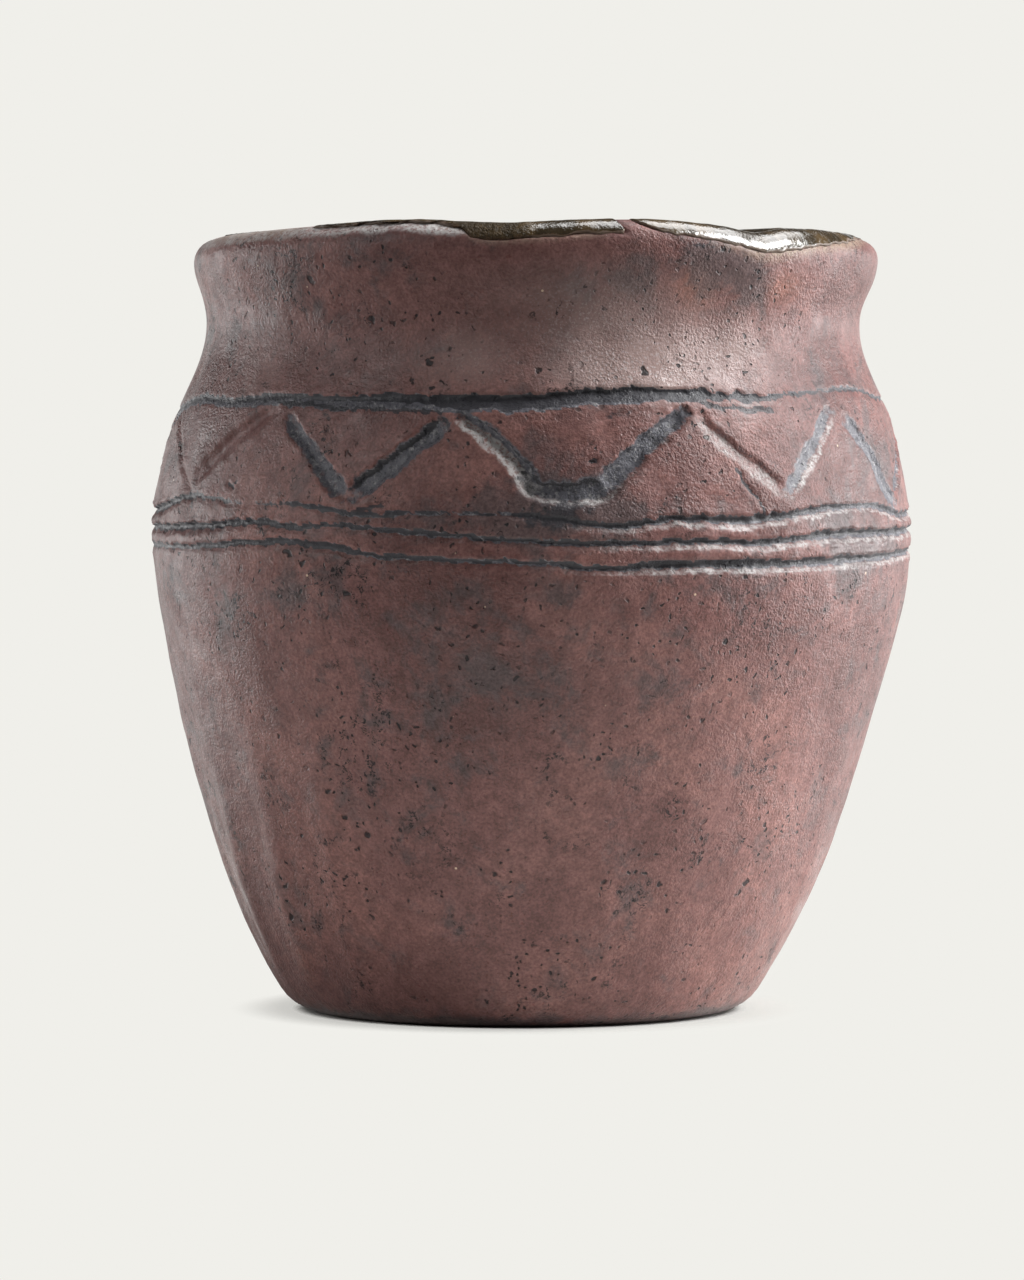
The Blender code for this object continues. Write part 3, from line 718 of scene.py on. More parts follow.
class Shading:
    """Adds nodes to a material or a node group and links them."""

    def __init__(self, tree):
        self.tree = tree
        self.place = None

    def node(self, kind, inputs=None, **settings):
        made = self.tree.nodes.new("ShaderNode" + kind)
        for name, value in settings.items():
            setattr(made, name, value)
        for name, value in (inputs or {}).items():
            self.feed(made.inputs[name], value)
        return made

    def feed(self, socket, value):
        if isinstance(value, bpy.types.NodeSocket):
            self.tree.links.new(value, socket)
        else:
            socket.default_value = value

    def object_place(self):
        if self.place is None:
            self.place = self.node("TexCoord").outputs["Object"]
        return self.place

    def shifted(self, shift, stretch=(1, 1, 1)):
        mapping = self.node("Mapping", {"Vector": self.object_place(), "Location": shift, "Scale": stretch})
        return mapping.outputs["Vector"]

    def warped(self, scale, size):
        """Places pushed about by noise, so that what is drawn there loses its regular shape."""
        push = self.node("TexNoise", {"Vector": self.object_place(), "Scale": scale, "Detail": 2.0})
        push = self.node("VectorMath", {0: push.outputs["Color"], 1: (0.5, 0.5, 0.5)}, operation="SUBTRACT")
        push = self.node("VectorMath", {0: push.outputs[0], "Scale": size}, operation="SCALE")
        return self.node("VectorMath", {0: push.outputs[0], 1: self.object_place()}).outputs[0]

    def noise(self, scale, detail=3.0, roughness=0.55, distortion=0.0, where=None):
        inputs = {"Vector": where or self.object_place(), "Scale": scale, "Detail": detail,
                  "Roughness": roughness, "Distortion": distortion}
        return self.node("TexNoise", inputs).outputs["Fac"]

    def cells(self, scale, where=None):
        made = self.node("TexVoronoi", {"Vector": where or self.object_place(), "Scale": scale})
        return made.outputs["Distance"], made.outputs["Color"]

    def step(self, value, low, high, to_low=0.0, to_high=1.0):
        inputs = {"Value": value, "From Min": low, "From Max": high, "To Min": to_low, "To Max": to_high}
        return self.node("MapRange", inputs, interpolation_type="SMOOTHSTEP").outputs["Result"]

    def math(self, operation, first, second):
        made = self.node("Math", operation=operation)
        self.feed(made.inputs[0], first)
        self.feed(made.inputs[1], second)
        return made.outputs["Value"]

    def plus(self, first, second):
        return self.math("ADD", first, second)

    def minus(self, first, second):
        return self.math("SUBTRACT", first, second)

    def times(self, first, second):
        return self.math("MULTIPLY", first, second)

    def larger(self, first, second):
        return self.math("MAXIMUM", first, second)

    def mix(self, share, first, second, blend="MIX"):
        made = self.node("Mix", data_type="RGBA", blend_type=blend)
        self.feed(made.inputs[0], share)
        self.feed(made.inputs[6], first)
        self.feed(made.inputs[7], second)
        return made.outputs[2]

    def ramp(self, value, stops):
        made = self.node("ValToRGB", {"Fac": value})
        elements = made.color_ramp.elements
        while len(elements) < len(stops):
            elements.new(0.5)
        for element, (position, shade) in zip(elements, stops):
            element.position = position
            element.color = shade
        return made.outputs["Color"]

    def mask(self, name):
        return self.node("Attribute", attribute_name=name).outputs["Fac"]

    def red(self, shade):
        return self.node("SeparateColor", {"Color": shade}).outputs["Red"]


def new_material(name):
    material = bpy.data.materials.new(name)
    material.use_nodes = True
    shader = material.node_tree.nodes["Principled BSDF"]
    return material, shader, Shading(material.node_tree)


def new_group(name, inputs, outputs):
    """Empty node group: its shading, the sockets that come in and those that go out."""
    group = bpy.data.node_groups.new(name, "ShaderNodeTree")
    for way, sockets in (("INPUT", inputs), ("OUTPUT", outputs)):
        for socket, kind in sockets.items():
            group.interface.new_socket(socket, in_out=way, socket_type="NodeSocket" + kind)
    given = group.nodes.new("NodeGroupInput").outputs
    result = group.nodes.new("NodeGroupOutput").inputs
    return Shading(group), given, result


def grain_group():
    """Fine grain, small pits and cracks of fired clay."""
    group = bpy.data.node_groups.get("fired_grain")
    if group:
        return group
    shading, given, result = new_group(
        "fired_grain", {"Pit Cover": "Float", "Crowding": "Float", "Grain Height": "Float"},
        {"Pits": "Float", "Height": "Float", "Tone": "Float", "Cluster": "Float"},
    )
    crowd = shading.times(given["Crowding"], 0.20)
    cluster = shading.step(shading.plus(shading.noise(115, 3, 0.6), crowd), 0.42, 0.60)
    warped = shading.warped(800, 0.0016)
    distance, random = shading.cells(420, warped)
    reach = shading.plus(shading.times(shading.red(random), 0.18), 0.06)
    holes = shading.step(distance, reach, shading.times(reach, 0.6))
    distance, random = shading.cells(1050, warped)
    dots = shading.times(shading.step(distance, 0.28, 0.18),
                         shading.step(shading.red(random), 0.58, 0.64))
    sparse = shading.step(shading.plus(shading.noise(300, 2, 0.6), crowd), 0.47, 0.53)
    holes = shading.larger(shading.times(holes, sparse), dots)
    holes = shading.times(holes, cluster)
    vein = shading.minus(shading.noise(380, 4, 0.7, 0.4, warped), 0.5)
    vein = shading.math("ABSOLUTE", vein, 0.0)
    crowded = shading.step(shading.plus(shading.noise(130, 3, 0.6), crowd), 0.55, 0.67)
    broken = shading.step(shading.noise(1100, 2, 0.6), 0.48, 0.54)
    cracks = shading.times(shading.step(vein, 0.032, 0.012), shading.times(crowded, broken))
    pits = shading.larger(holes, cracks)
    pits = shading.times(pits, given["Pit Cover"])
    fine = shading.noise(3000, 2, 0.6)
    wiped = shading.noise(330, 3, 0.6, 0.0, shading.shifted((0.5, 0.3, 0.1), (1, 1, 4)))
    coarse = shading.noise(420, 2, 0.5)
    lumps = shading.plus(shading.times(wiped, 0.5), shading.times(coarse, 0.9))
    worn = shading.step(shading.noise(170, 3, 0.6), 0.35, 0.62, 0.4, 1.3)
    grain = shading.plus(shading.times(fine, worn), lumps)
    height = shading.times(grain, given["Grain Height"])
    height = shading.minus(height, shading.times(holes, 0.20))
    shading.feed(result["Pits"], pits)
    shading.feed(result["Height"], height)
    shading.feed(result["Tone"], fine)
    shading.feed(result["Cluster"], shading.plus(cluster, crowded))
    return shading.tree


def clay_material():
    """Fired red clay: mottled reds, smoked patches, pits, pale specks, and charcoal wash in the scratches,
    with painted shade at the foot and in the scratches, and painted highlights in them, on the neck and on
    the lip.
    """
    material = bpy.data.materials.get("scratched_clay")
    if material:
        return material
    finish = cup().finish
    material, shader, shading = new_material("scratched_clay")
    grain = shading.node("Group", node_tree=grain_group())
    grain.inputs["Pit Cover"].default_value = 0.9
    grain.inputs["Grain Height"].default_value = finish.clay_grain
    shading.feed(grain.inputs["Crowding"], shading.mask("pitted"))

    # Paler patches, one of them a painted highlight on the left between shoulder and neck.
    tone = shading.plus(shading.noise(60, 5, 0.65), shading.times(shading.mask("rosy_and_highlight"), 0.10))
    reds = ((0.36, finish.deep_clay), (0.50, finish.red_clay), (0.64, finish.rose_clay))
    shade = shading.ramp(tone, reds)
    shade = shading.mix(shading.step(shading.mask("rosy_and_highlight"), 1.0, 2.2, 0.0, 0.7), shade, finish.fired_orange)
    # Smoked patches, and painted shade along the bottom of the foot.
    smoke_and_shade = shading.noise(210, 4, 0.7, 0.4, shading.shifted((0.3, 0.1, 0.2)))
    smoke_and_shade = shading.plus(smoke_and_shade, shading.times(shading.mask("smoke_and_shade"), 0.22))
    smoke_and_shade = shading.plus(smoke_and_shade, shading.times(grain.outputs["Cluster"], 0.05))
    shade = shading.mix(shading.step(smoke_and_shade, 0.54, 0.78, 0.0, 0.70), shade, finish.smoke_and_shade)
    mottle = ((0.38, (0.84, 0.83, 0.83, 1)), (0.62, (1.16, 1.16, 1.16, 1)))
    mottle = shading.ramp(shading.noise(700, 4, 0.65), mottle)
    shade = shading.mix(1.0, shade, mottle, "MULTIPLY")
    speckle = ((0.36, (0.80, 0.80, 0.81, 1)), (0.64, (1.20, 1.20, 1.19, 1)))
    speckle = shading.ramp(grain.outputs["Tone"], speckle)
    shade = shading.mix(1.0, shade, speckle, "MULTIPLY")
    # Painted highlight, partly: paler skin and pale glints where the neck is frosted.
    bloom_and_highlight = shading.times(shading.mask("frost_and_highlight"), shading.step(tone, 0.30, 0.60, 0.35, 0.70))
    shade = shading.mix(bloom_and_highlight, shade, finish.bloom_and_highlight)
    frost_and_highlight = shading.times(shading.mask("frost_and_highlight"), shading.step(shading.noise(3400, 2, 0.6), 0.53, 0.66))
    shade = shading.mix(shading.times(frost_and_highlight, 0.18), shade, finish.frost_and_highlight)

    rim = shading.mask("rim")
    sandy = shading.step(shading.noise(1500, 4, 0.7), 0.40, 0.58, 0.35, 1.0)
    shade = shading.mix(shading.times(rim, sandy), shade, finish.tan)
    distance, random = shading.cells(300, shading.shifted((0.7, 0.2, 0.5)))
    specks = shading.times(shading.step(distance, 0.055, 0.03),
                           shading.step(shading.red(random), 0.72, 0.76))
    shade = shading.mix(specks, shade, finish.speck)
    shade = shading.mix(grain.outputs["Pits"], shade, finish.pit)

    patchy = shading.minus(shading.noise(900, 4, 0.65), 0.5)
    wash = shading.plus(shading.mask("wash"), shading.times(patchy, 1.3))
    wash = shading.step(wash, 0.28, 0.68)
    grey_grain = shading.step(shading.noise(1700, 3, 0.7), 0.50, 0.72, 0.0, 0.5)
    black_grain = shading.noise(1900, 3, 0.7, 0.0, shading.shifted((0.2, 0.8, 0.3)))
    black_grain = shading.step(black_grain, 0.50, 0.36, 0.0, 0.7)
    charcoal = shading.mix(black_grain, shading.mix(grey_grain, finish.wash, finish.ash_and_highlight), finish.soot_and_shade)
    shade = shading.mix(wash, shade, charcoal)
    # Pale grey in the scratches and along the left of the lip: partly painted highlight and sheen.
    ash_and_highlight = shading.plus(shading.mask("ash_and_highlight"), shading.times(patchy, 0.8))
    ash_and_highlight = shading.step(ash_and_highlight, 0.15, 0.85)
    ash_and_highlight = shading.times(ash_and_highlight, shading.step(shading.noise(2300, 3, 0.7), 0.36, 0.56, 0.2, 1.0))
    ash_and_highlight = shading.times(ash_and_highlight, shading.step(shading.noise(330, 2, 0.6), 0.36, 0.52, 0.6, 1.0))
    shade = shading.mix(ash_and_highlight, shade, finish.ash_and_highlight)
    # Black in the scratches: partly painted shade on their undercut upper side.
    soot_and_shade = shading.plus(shading.mask("soot_and_shade"), patchy)
    shade = shading.mix(shading.step(soot_and_shade, 0.36, 0.60, 0.0, 0.9), shade, finish.soot_and_shade)

    dry = shading.step(shading.noise(300, 3, 0.6), 0.3, 0.7, 0.34, 0.50)
    glints = shading.noise(2100, 2, 0.6, 0.0, shading.shifted((0.4, 0.9, 0.1)))
    dry = shading.minus(dry, shading.step(glints, 0.60, 0.72, 0.0, 0.20))
    dry = shading.minus(dry, shading.times(shading.mask("frost_and_highlight"), 0.06))
    shader.inputs["Specular IOR Level"].default_value = 0.28
    shading.feed(shader.inputs["Base Color"], shade)
    shading.feed(shader.inputs["Roughness"], dry)
    bump = shading.node("Bump", {"Height": grain.outputs["Height"], "Distance": 0.001, "Strength": 1.0})
    shading.feed(shader.inputs["Normal"], bump.outputs["Normal"])
    return material


def glaze_group():
    """Runs and pools of a dark glaze: colour from thin to thick, and the ripple of its surface."""
    group = bpy.data.node_groups.get("olive_glaze")
    if group:
        return group
    shading, given, result = new_group(
        "olive_glaze", {"Thin": "Color", "Thick": "Color", "Ripple": "Float"},
        {"Colour": "Color", "Height": "Float"},
    )
    runs = shading.noise(240, 4, 0.6, 0.5, shading.shifted((0.2, 0, 0.6), (1, 1, 0.45)))
    dots = shading.noise(1600, 3, 0.6)
    thin = shading.plus(shading.step(runs, 0.40, 0.66), shading.step(dots, 0.62, 0.75, 0.0, 0.4))
    shading.feed(result["Colour"], shading.mix(thin, given["Thick"], given["Thin"]))
    waves = shading.noise(520, 3, 0.55)
    waves = shading.plus(waves, shading.times(shading.noise(3000, 2, 0.6), 0.4))
    shading.feed(result["Height"], shading.times(waves, given["Ripple"]))
    return shading.tree


def glaze_material(name, ripple, roughness):
    """Glossy dark olive-brown glaze."""
    finish = cup().finish
    material, shader, shading = new_material(name)
    glaze = shading.node("Group", node_tree=glaze_group())
    glaze.inputs["Thin"].default_value = finish.thin_glaze
    glaze.inputs["Thick"].default_value = finish.thick_glaze
    glaze.inputs["Ripple"].default_value = ripple
    edge = shading.step(shading.mask("edge"), 0.2, 0.8)
    dry = shading.mask("dry")
    shade = shading.mix(edge, glaze.outputs["Colour"], finish.glaze_edge)
    blackened = shading.times(dry, shading.step(shading.noise(1500, 3, 0.7), 0.58, 0.40, 0.3, 0.9))
    shading.feed(shader.inputs["Base Color"], shading.mix(blackened, shade, finish.thick_glaze))
    dull = shading.step(shading.noise(1300, 3, 0.6), 0.48, 0.66, roughness, roughness + 0.14)
    dull = shading.larger(dull, shading.times(dry, 0.40))
    shading.feed(shader.inputs["Roughness"], shading.larger(dull, shading.times(edge, 0.6)))
    shader.inputs["IOR"].default_value = 1.6
    shading.feed(shader.inputs["Specular IOR Level"], shading.step(dry, 0.0, 1.0, 0.5, 0.10))
    bare = shading.larger(edge, dry)
    shading.feed(shader.inputs["Coat Weight"], shading.step(bare, 0.0, 0.8, 0.5, 0.0))
    shader.inputs["Coat Roughness"].default_value = 0.05
    sand = shading.times(shading.times(shading.noise(1700, 3, 0.7), dry), 0.35)
    height = shading.plus(glaze.outputs["Height"], sand)
    bump = shading.node("Bump", {"Height": height, "Distance": 0.001, "Strength": 1.0})
    shading.feed(shader.inputs["Normal"], bump.outputs["Normal"])
    shading.feed(shader.inputs["Coat Normal"], bump.outputs["Normal"])
    return material


# Pieces

def wall_profile(form):
    """Outline of the clay wall: foot, outside, rolled lip, inside cut back for glaze, seat of the slab."""
    shape = form.shape
    bed = shape.glaze + CLAY_GAP
    seam = SLAB_RADIUS - (shape.base_radius - SLAB_RADIUS) * FOOT_REACH
    profile = [(radius, 0.0) for radius in np.linspace(seam, shape.base_radius, FOOT_FLAT_ROWS)]
    for turn in np.linspace(0, math.pi / 2 - shape.foot_flare, FOOT_ROWS + 1)[1:]:
        profile.append((shape.base_radius + shape.foot_round * math.sin(turn),
                        shape.foot_round * (1 - math.cos(turn))))
    heights = np.concatenate((
        np.linspace(form.foot_top, BAND_LOW, LOWER_ROWS)[1:],
        np.linspace(BAND_LOW, BAND_HIGH, BAND_ROWS)[1:],
        np.linspace(BAND_HIGH, shape.lip_height, NECK_ROWS)[1:],
    ))
    profile += list(zip(form.outside(heights), heights))
    quarter = form.nose * math.pi / 2
    runs = np.linspace(quarter, -quarter, NOSE_ROWS)[1:]
    profile += list(zip(*form.lip(runs, np.where(runs < 0, -bed, 0.0))))
    inner = np.linspace(shape.lip_height, shape.floor + shape.corner_rise, INNER_ROWS)[1:]
    profile += list(zip(form.outside(inner) - shape.wall + bed, inner))
    profile += form.corner(INNER_CORNER_ROWS, bed)[::-1]
    return [(float(radius), float(height)) for radius, height in profile]


def pared_facets(angle_round, height, points):
    """Flats pared with a tool on the lower wall, strongest on the left."""
    share = (angle_round + 0.12 * wander(points, 30 * MM, 11)) / FACET_PITCH + 6 * height
    ridge = 0.5 + 0.5 * np.cos(2 * math.pi * share)
    strength = 0.35 + 0.65 * smooth((-np.sin(angle_round) + 0.1) / 0.9)
    window = between(height, 2 * MM, 6 * MM, 44 * MM, 20 * MM)
    return FACET_DEPTH * (ridge ** 2 - 0.4) * strength * window


def patches(places, angle_round, height):
    """Sum of soft round patches on the wall."""
    belly = cup().shape.belly_radius / MM
    height = height / MM
    total = np.zeros(len(height))
    for degrees, middle, half_width, half_height, strength in places:
        turn = (angle_round - math.radians(degrees) + math.pi) % (2 * math.pi) - math.pi
        across = turn * belly / half_width
        along = (height - middle) / half_height
        total += strength * np.exp(-across ** 2 - along ** 2)
    return total


def patch_slant(angle_round, drop):
    """Sideways slant of the bare patch in the lip glaze, as an angle that grows below the crest."""
    near = np.exp(-((np.degrees(angle_round) - BARE_PATCH) / BARE_PATCH_REACH) ** 2)
    return math.radians(BARE_PATCH_SLANT) * near * np.clip(drop / (1.5 * MM), 0, 1)


class CLAYCUP_OT_clay_wall(bpy.types.Operator):
    """Wall of red clay with its scratched band"""
    bl_idname = "claycup.clay_wall"
    bl_label = "Clay Wall"

    def execute(self, context):
        shape = context.scene.clay_cup.shape
        form = TurnedForm(shape)
        wall = spun("cup_clay_wall", wall_profile(form), WALL_COLUMNS, closed=True)
        self.refine_band(wall, form)
        points = points_of(wall)
        angle_round, radius, height = turned_places(points)
        outside = form.faces_out(radius, height) & (height > MERGE)

        hand = uneven(points, HAND_SWELL) + pared_facets(angle_round, height, points)
        hand += MM * patches(DENTS, angle_round, height)
        hand *= between(height, 0, 4 * MM, form.crest, 4 * MM)
        band = outside & (height > BAND_LOW + 0.4 * MM) & (height < BAND_HIGH - 0.2 * MM)
        scratching = Scratching(points[band], angle_round[band], height[band])
        scratching.scratch_all()
        hand[band] += scratching.lift()
        radius = radius + np.where(outside, hand, 0.0)
        wash, soot_and_shade, ash_and_highlight = np.zeros((3, len(points)))
        wash[band] = scratching.wash
        soot_and_shade[band] = scratching.soot_and_shade
        ash_and_highlight[band] = scratching.ash_and_highlight

        drop = form.crest - height
        edge = MM * around(LIP_EDGE, angle_round - patch_slant(angle_round, drop))
        bed = self.glaze_bed(drop, edge)
        turn = np.arctan2(height - shape.lip_height, radius - form.nose_radius)
        over = outside & (height > shape.lip_height - 0.2 * MM)
        radius = radius - np.where(over, bed * np.cos(turn), 0.0)
        height = height - np.where(over, bed * np.sin(turn), 0.0)
        near_lip = outside & (height > shape.neck_height)
        frayed = MM + 0.4 * MM * wander(points, 3 * MM, 18)
        lip_sheen = self.painted_lip_sheen(np.degrees(angle_round), drop - frayed) * near_lip
        place_points(wall, form.by_hand(angle_round, radius, height))

        # Painted shade: the clay darkens towards the bottom of the foot, where the floor's shadow falls.
        foot = 1.6 * smooth(1 - height / (2 * MM))
        masks = {
            "wash": wash,
            "soot_and_shade": np.maximum(soot_and_shade, patches(STAINED, angle_round, height) * outside),
            "ash_and_highlight": np.maximum(ash_and_highlight, lip_sheen),
            "rim": self.bare_rim(np.degrees(angle_round), drop, drop - edge) * near_lip,
            "smoke_and_shade": (patches(SMOKED, angle_round, height) + foot) * outside,
            "frost_and_highlight": patches(FROSTED_AND_HIGHLIT, angle_round, height) * outside,
            "rosy_and_highlight": patches(ROSY_AND_HIGHLIT, angle_round, height) * outside,
            "pitted": patches(PITTED, angle_round, height) * outside,
        }
        for name, values in masks.items():
            set_mask(wall, name, values)
        finish_piece(wall, clay_material(), "clay_wall")
        return {"FINISHED"}

    def glaze_bed(self, drop, edge):
        """How far the lip's clay gives way to its glaze, by the drop below the crest."""
        covered = smooth((edge + 0.2 * MM) / (0.3 * MM))
        under_glaze = smooth((edge - drop) / (0.4 * MM) + 0.1)
        at_crest = 0.6 * smooth(1 - drop / (1.4 * MM))
        return GLAZE_BED * covered * np.maximum(under_glaze, at_crest)

    def bare_rim(self, degrees, drop, below):
        """Tan clay along the lip: beside the glaze at the right and front, at the crest on the left."""
        rim = smooth(1 - below / (1.4 * MM)) * smooth((degrees - 25) / 15)
        rim += 0.9 * smooth(1 - drop / (1.8 * MM)) * between(degrees, -80, 10, -40, 8)
        rim += 0.6 * smooth(1 - below / (0.8 * MM)) * between(degrees, -20, 6, 13, 4)
        return rim

    def painted_lip_sheen(self, degrees, below):
        """Silver-grey painted sheen along the left of the lip, which frays out below."""
        strength = 0.75 * (0.8 + 0.2 * smooth((degrees + 47) / 8))
        return strength * between(degrees, -88, 8, -9, 4) * smooth(1 - below / (0.9 * MM))

    def refine_band(self, wall, form):
        """Doubles the mesh where the scratches go and over the outside of the lip."""
        centres = np.empty(len(wall.data.polygons) * 3)
        wall.data.polygons.foreach_get("center", centres)
        _, radius, height = turned_places(centres.reshape(-1, 3))
        chosen = form.faces_out(radius, height) & (height > BAND_LOW) & (height < BAND_HIGH)
        chosen |= (radius > form.nose_radius) & (height > form.shape.lip_height - 0.6 * MM)
        bpy.ops.object.mode_set(mode="EDIT")
        bpy.ops.mesh.select_mode(type="FACE")
        bpy.ops.mesh.select_all(action="DESELECT")
        bpy.ops.object.mode_set(mode="OBJECT")
        wall.data.polygons.foreach_set("select", chosen)
        bpy.ops.object.mode_set(mode="EDIT")
        bpy.ops.mesh.subdivide(number_cuts=1)
        bpy.ops.object.mode_set(mode="OBJECT")


class CLAYCUP_OT_base_slab(bpy.types.Operator):
    """Clay disc that closes the bottom"""
    bl_idname = "claycup.base_slab"
    bl_label = "Base Slab"

    def execute(self, context):
        form = TurnedForm(context.scene.clay_cup.shape)
        foot = SLAB_RADIUS - SLAB_TAPER
        top = SLAB_HIGH.z
        rows = np.linspace(0, foot - SLAB_EDGE, SLAB_ROWS).tolist()
        profile = [(radius, 0.0) for radius in rows] + [(foot, SLAB_EDGE), (SLAB_RADIUS, top)]
        profile += [(radius, top) for radius in rows[::-3]]
        slab = spun("cup_base_slab", profile, SLAB_COLUMNS, closed=False)
        points = points_of(slab)
        angle_round, radius, height = turned_places(points)
        hollow = 0.12 * MM * (1 + wander(points, 6 * MM, 8))
        height = height + np.where(height < MERGE, hollow, 0.0)
        place_points(slab, form.by_hand(angle_round, radius, height))
        finish_piece(slab, clay_material(), "base_slab")
        return {"FINISHED"}


class CLAYCUP_OT_glaze_lining(bpy.types.Operator):
    """Glaze poured inside, from the floor up to the lip"""
    bl_idname = "claycup.glaze_lining"
    bl_label = "Glaze Lining"

    def execute(self, context):
        form = TurnedForm(context.scene.clay_cup.shape)
        shape = form.shape
        face = self.face(form)
        back = [(radius + shape.glaze * 0.8, height - shape.glaze * 0.6) for radius, height in face[1:]]
        back = [(0.0, shape.floor - shape.glaze)] + back
        lining = spun("cup_glaze_lining", face + back[::-1], LINING_COLUMNS, closed=False)
        points = points_of(lining)
        angle_round, radius, height = turned_places(points)
        rings = np.sin(height / RING_PITCH + 2 * wander(points, 30 * MM, 9))
        rings *= smooth((height - 16 * MM) / (10 * MM))
        rings += wander(points, 9 * MM, 10)
        radius = radius + RING_DEPTH * rings * smooth(radius / (10 * MM))
        place_points(lining, form.by_hand(angle_round, radius, height))
        finish_piece(lining, glaze_material("poured_glaze", 0.02, 0.10), "glaze_lining")
        return {"FINISHED"}

    def face(self, form):
        """Finished inside from the middle of the floor up to the lip glaze."""
        shape = form.shape
        corner = form.corner(LINING_CORNER_ROWS)
        floor_rows = np.linspace(0, corner[0][0], LINING_FLOOR_ROWS)[:-1]
        profile = [(radius, shape.floor) for radius in floor_rows] + corner
        top = shape.floor + shape.corner_rise
        heights = np.linspace(top, form.crest - shape.lip_inside - CLAY_GAP, LINING_WALL_ROWS)
        profile += list(zip(form.outside(heights) - shape.wall, heights))
        return [(float(radius), float(height)) for radius, height in profile]


class CLAYCUP_OT_lip_glaze(bpy.types.Operator):
    """Glaze laid over the lip, with a ragged lower edge"""
    bl_idname = "claycup.lip_glaze"
    bl_label = "Lip Glaze"

    def execute(self, context):
        form = TurnedForm(context.scene.clay_cup.shape)
        shape = form.shape
        longest = form.nose * math.pi / 2
        inside = shape.lip_inside - form.nose + longest
        inner_rows = LIP_FACE_ROWS // 3
        face_runs = np.concatenate((np.linspace(-inside, 0, inner_rows)[:-1],
                                    np.linspace(0, longest, LIP_FACE_ROWS - inner_rows)))
        back_runs = np.linspace(longest, -inside, LIP_BACK_ROWS)
        runs = np.concatenate((face_runs, back_runs))
        lifts = np.concatenate((np.zeros(len(face_runs)), np.full(len(back_runs), -shape.glaze)))
        profile = [(float(r), float(z)) for r, z in zip(*form.lip(runs, lifts))]
        marks = {"run": runs, "lift": lifts}
        glaze = spun("cup_lip_glaze", profile, LIP_COLUMNS, closed=True, marks=marks)
        run = take_mask(glaze, "run")
        back = take_mask(glaze, "lift") < -shape.glaze / 2

        points = points_of(glaze)
        angle_round, _, _ = turned_places(points)
        edge = MM * around(LIP_EDGE, angle_round)
        drop = np.clip(edge + uneven(points, RAGGED_GLAZE), 0.1 * MM, form.nose * 0.97)
        end = form.nose * np.arccos(1 - drop / form.nose)
        along = np.clip(run / longest, 0, 1)
        run = np.where(run > 0, end * along, run)
        from_edge = np.where(run > 0, (1 - along) * end, 1.0)
        lift = 0.11 * MM + uneven(points, GLAZE_LUMPS) - 0.07 * MM * smooth(1 - from_edge / (0.3 * MM))
        lift = np.where(back, -0.35 * MM, lift)
        worn_off = smooth(-edge / (0.3 * MM)) * smooth((run + 1.2 * MM) / (0.6 * MM))
        radius, height = form.lip(run, lift - shape.glaze * worn_off)
        angle_round = angle_round + patch_slant(angle_round, drop * along)
        place_points(glaze, form.by_hand(angle_round, radius, height))
        dry = between(np.degrees(angle_round), -16, 3, 1, 4) * smooth(run / (0.3 * MM))
        set_mask(glaze, "edge", smooth(1 - from_edge / (0.5 * MM)))
        set_mask(glaze, "dry", dry)
        finish_piece(glaze, glaze_material("dipped_glaze", 0.11, 0.18), "lip_glaze")
        return {"FINISHED"}


# Stage

def softbox(name, place, size, radiance):
    """Rectangular area lamp that faces the cup."""
    target = Vector((0, 0, 0.05))
    turn = (target - Vector(place)).to_track_quat("-Z", "Y").to_euler()
    bpy.ops.object.light_add(type="AREA", location=place, rotation=turn)
    lamp = bpy.context.object
    lamp.name = name
    lamp.data.shape = "RECTANGLE"
    lamp.data.size, lamp.data.size_y = size
    lamp.data.energy = radiance * math.pi * size[0] * size[1]


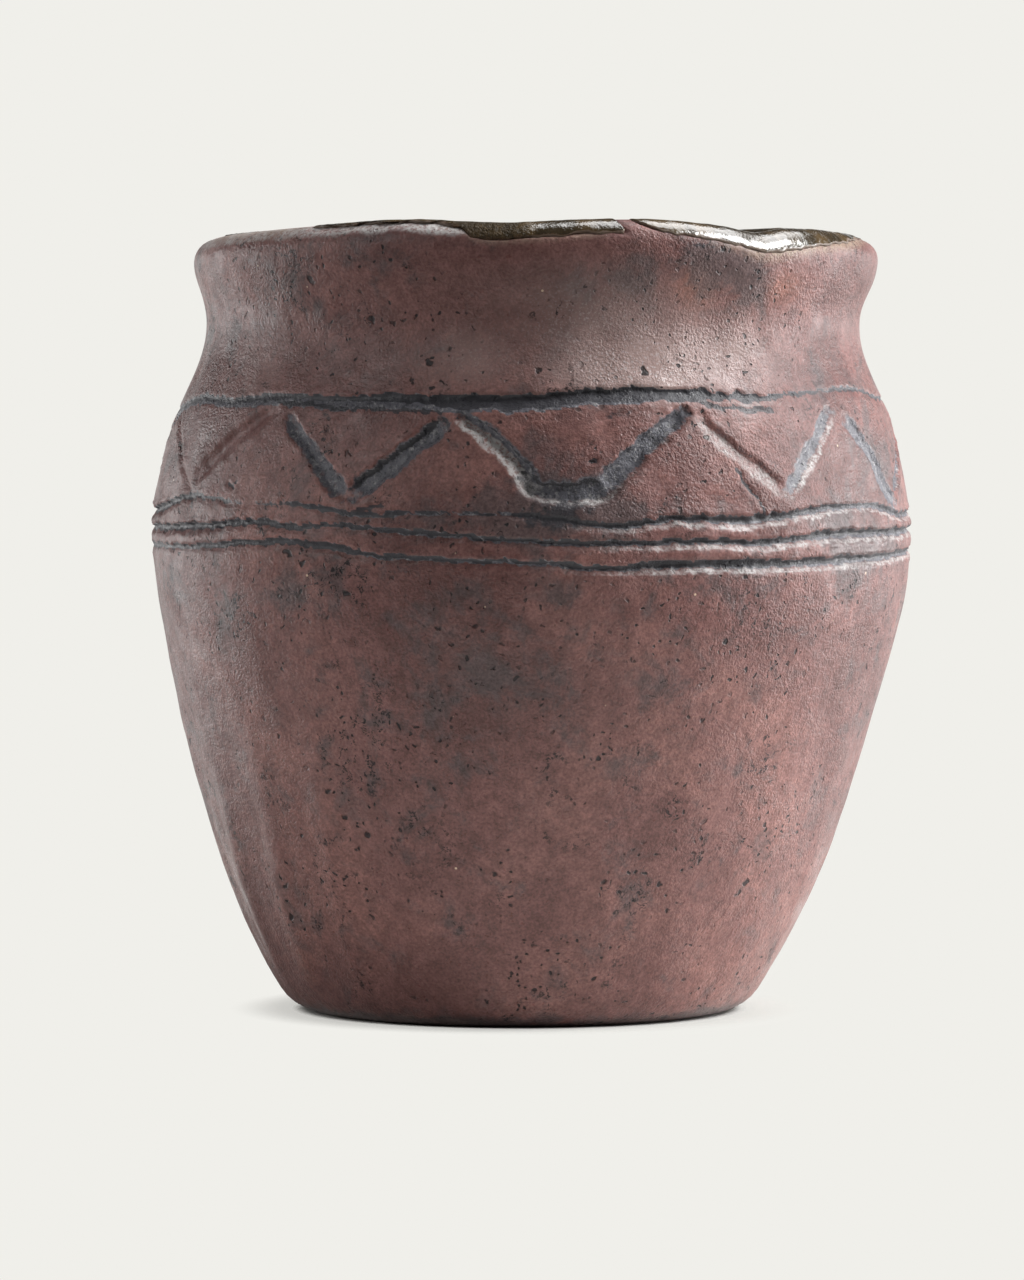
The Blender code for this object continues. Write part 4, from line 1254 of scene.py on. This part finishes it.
class CLAYCUP_OT_stage(bpy.types.Operator):
    """Camera, softboxes, pale floor and background"""
    bl_idname = "claycup.stage"
    bl_label = "Stage"

    def execute(self, context):
        stage = context.scene.clay_cup.stage
        bpy.ops.object.select_all(action="DESELECT")
        bpy.ops.object.camera_add(
            location=(0, -stage.camera_distance, stage.camera_height),
            rotation=Vector(stage.aim).to_track_quat("-Z", "Y").to_euler(),
        )
        camera = context.object
        camera.data.lens = stage.lens
        camera.data.clip_start = 0.01
        context.scene.camera = camera
        softbox("softbox_top", (0.30, 0.22, 0.78), (0.55, 0.60), stage.top_radiance)
        softbox("softbox_key", (0.735, -0.05, 0.58), (0.45, 0.40), stage.key_radiance)
        softbox("softbox_side", (0.83, 0.22, 0.09), (0.45, 0.35), stage.side_radiance)
        softbox("softbox_left", (-0.74, -0.32, 0.43), (0.45, 0.40), stage.left_radiance)
        softbox("softbox_rim_left", (-0.77, 0.45, 0.06), (0.55, 0.45), stage.rim_radiance)
        softbox("softbox_rim_right", (0.74, 0.53, 0.05), (0.45, 0.40), 0.6 * stage.rim_radiance)
        self.floor(stage)
        self.background(context.scene, stage)
        context.scene.view_settings.view_transform = "Standard"
        return {"FINISHED"}

    def floor(self, stage):
        """Pale disc that fades into the background for the camera."""
        bpy.ops.object.select_all(action="DESELECT")
        bpy.ops.mesh.primitive_circle_add(vertices=128, radius=stage.floor_radius, fill_type="NGON",
                                          location=(0, 0, -0.05 * MM))
        floor = bpy.context.object
        floor.name = "floor"
        material, shader, shading = new_material("pale_floor")
        path = shading.node("LightPath")
        in_view = path.outputs["Is Camera Ray"]
        shading.feed(shader.inputs["Base Color"], shading.mix(in_view, stage.floor, stage.floor_seen))
        shader.inputs["Roughness"].default_value = 0.9
        shader.inputs["Specular IOR Level"].default_value = 0.0
        away = shading.node("VectorMath", {0: shading.object_place()}, operation="LENGTH").outputs["Value"]
        near = shading.step(away, 0.0252, 0.0270, 0.0, 0.62)
        fade = shading.plus(near, shading.step(away, 0.0270, 0.0345, 0.0, 0.38))
        fade = shading.times(fade, in_view)
        clear = shading.node("BsdfTransparent")
        blend = shading.node("MixShader", {0: fade, 1: shader.outputs[0], 2: clear.outputs[0]})
        out = material.node_tree.nodes["Material Output"]
        shading.feed(out.inputs["Surface"], blend.outputs[0])
        floor.data.materials.append(material)

    def background(self, scene, stage):
        """Pale for the camera; reflections see it behind the cup, and a dim room on the camera's side."""
        world = bpy.data.worlds.new("studio")
        scene.world = world
        world.use_nodes = True
        shading = Shading(world.node_tree)
        path = shading.node("LightPath")
        way = shading.node("TexCoord").outputs["Generated"]
        behind = shading.node("SeparateXYZ", {0: way}).outputs["Y"]
        low = shading.step(shading.node("SeparateXYZ", {0: way}).outputs["Z"], 0.25, 0.08)
        glowing = shading.times(shading.step(behind, -0.35, 0.45), low)
        seen = shading.mix(glowing, stage.room, stage.glow)
        shade = shading.mix(path.outputs["Is Glossy Ray"], stage.ambient, seen)
        direct = shading.larger(path.outputs["Is Camera Ray"], path.outputs["Is Transmission Ray"])
        shade = shading.mix(direct, shade, stage.backdrop)
        shading.feed(world.node_tree.nodes["Background"].inputs["Color"], shade)


class CLAYCUP_PT_sidebar(bpy.types.Panel):
    """Lists the cup's pieces and settings"""
    bl_idname = "CLAYCUP_PT_sidebar"
    bl_label = "Clay Cup"
    bl_space_type = "VIEW_3D"
    bl_region_type = "UI"
    bl_category = "Clay Cup"

    def draw(self, context):
        settings = context.scene.clay_cup
        for operator in OPERATORS:
            self.layout.operator(operator.bl_idname)
        for group in (settings.shape, settings.band, settings.finish, settings.stage):
            box = self.layout.box()
            for name in group.bl_rna.properties.keys():
                if name not in ("rna_type", "name"):
                    box.prop(group, name)


GROUPS = (CupShape, ScratchedBand, CupFinish, StudioStage, ClayCup)
OPERATORS = (CLAYCUP_OT_clay_wall, CLAYCUP_OT_base_slab, CLAYCUP_OT_glaze_lining, CLAYCUP_OT_lip_glaze,
             CLAYCUP_OT_stage)
CLASSES = GROUPS + OPERATORS + (CLAYCUP_PT_sidebar,)


def register():
    for item in CLASSES:
        bpy.utils.register_class(item)
    bpy.types.Scene.clay_cup = PointerProperty(type=ClayCup)


def unregister():
    del bpy.types.Scene.clay_cup
    for item in reversed(CLASSES):
        bpy.utils.unregister_class(item)


def main():
    register()
    bpy.ops.claycup.clay_wall()
    bpy.ops.claycup.base_slab()
    bpy.ops.claycup.glaze_lining()
    bpy.ops.claycup.lip_glaze()
    bpy.ops.claycup.stage()


if __name__ == "__main__":
    main()
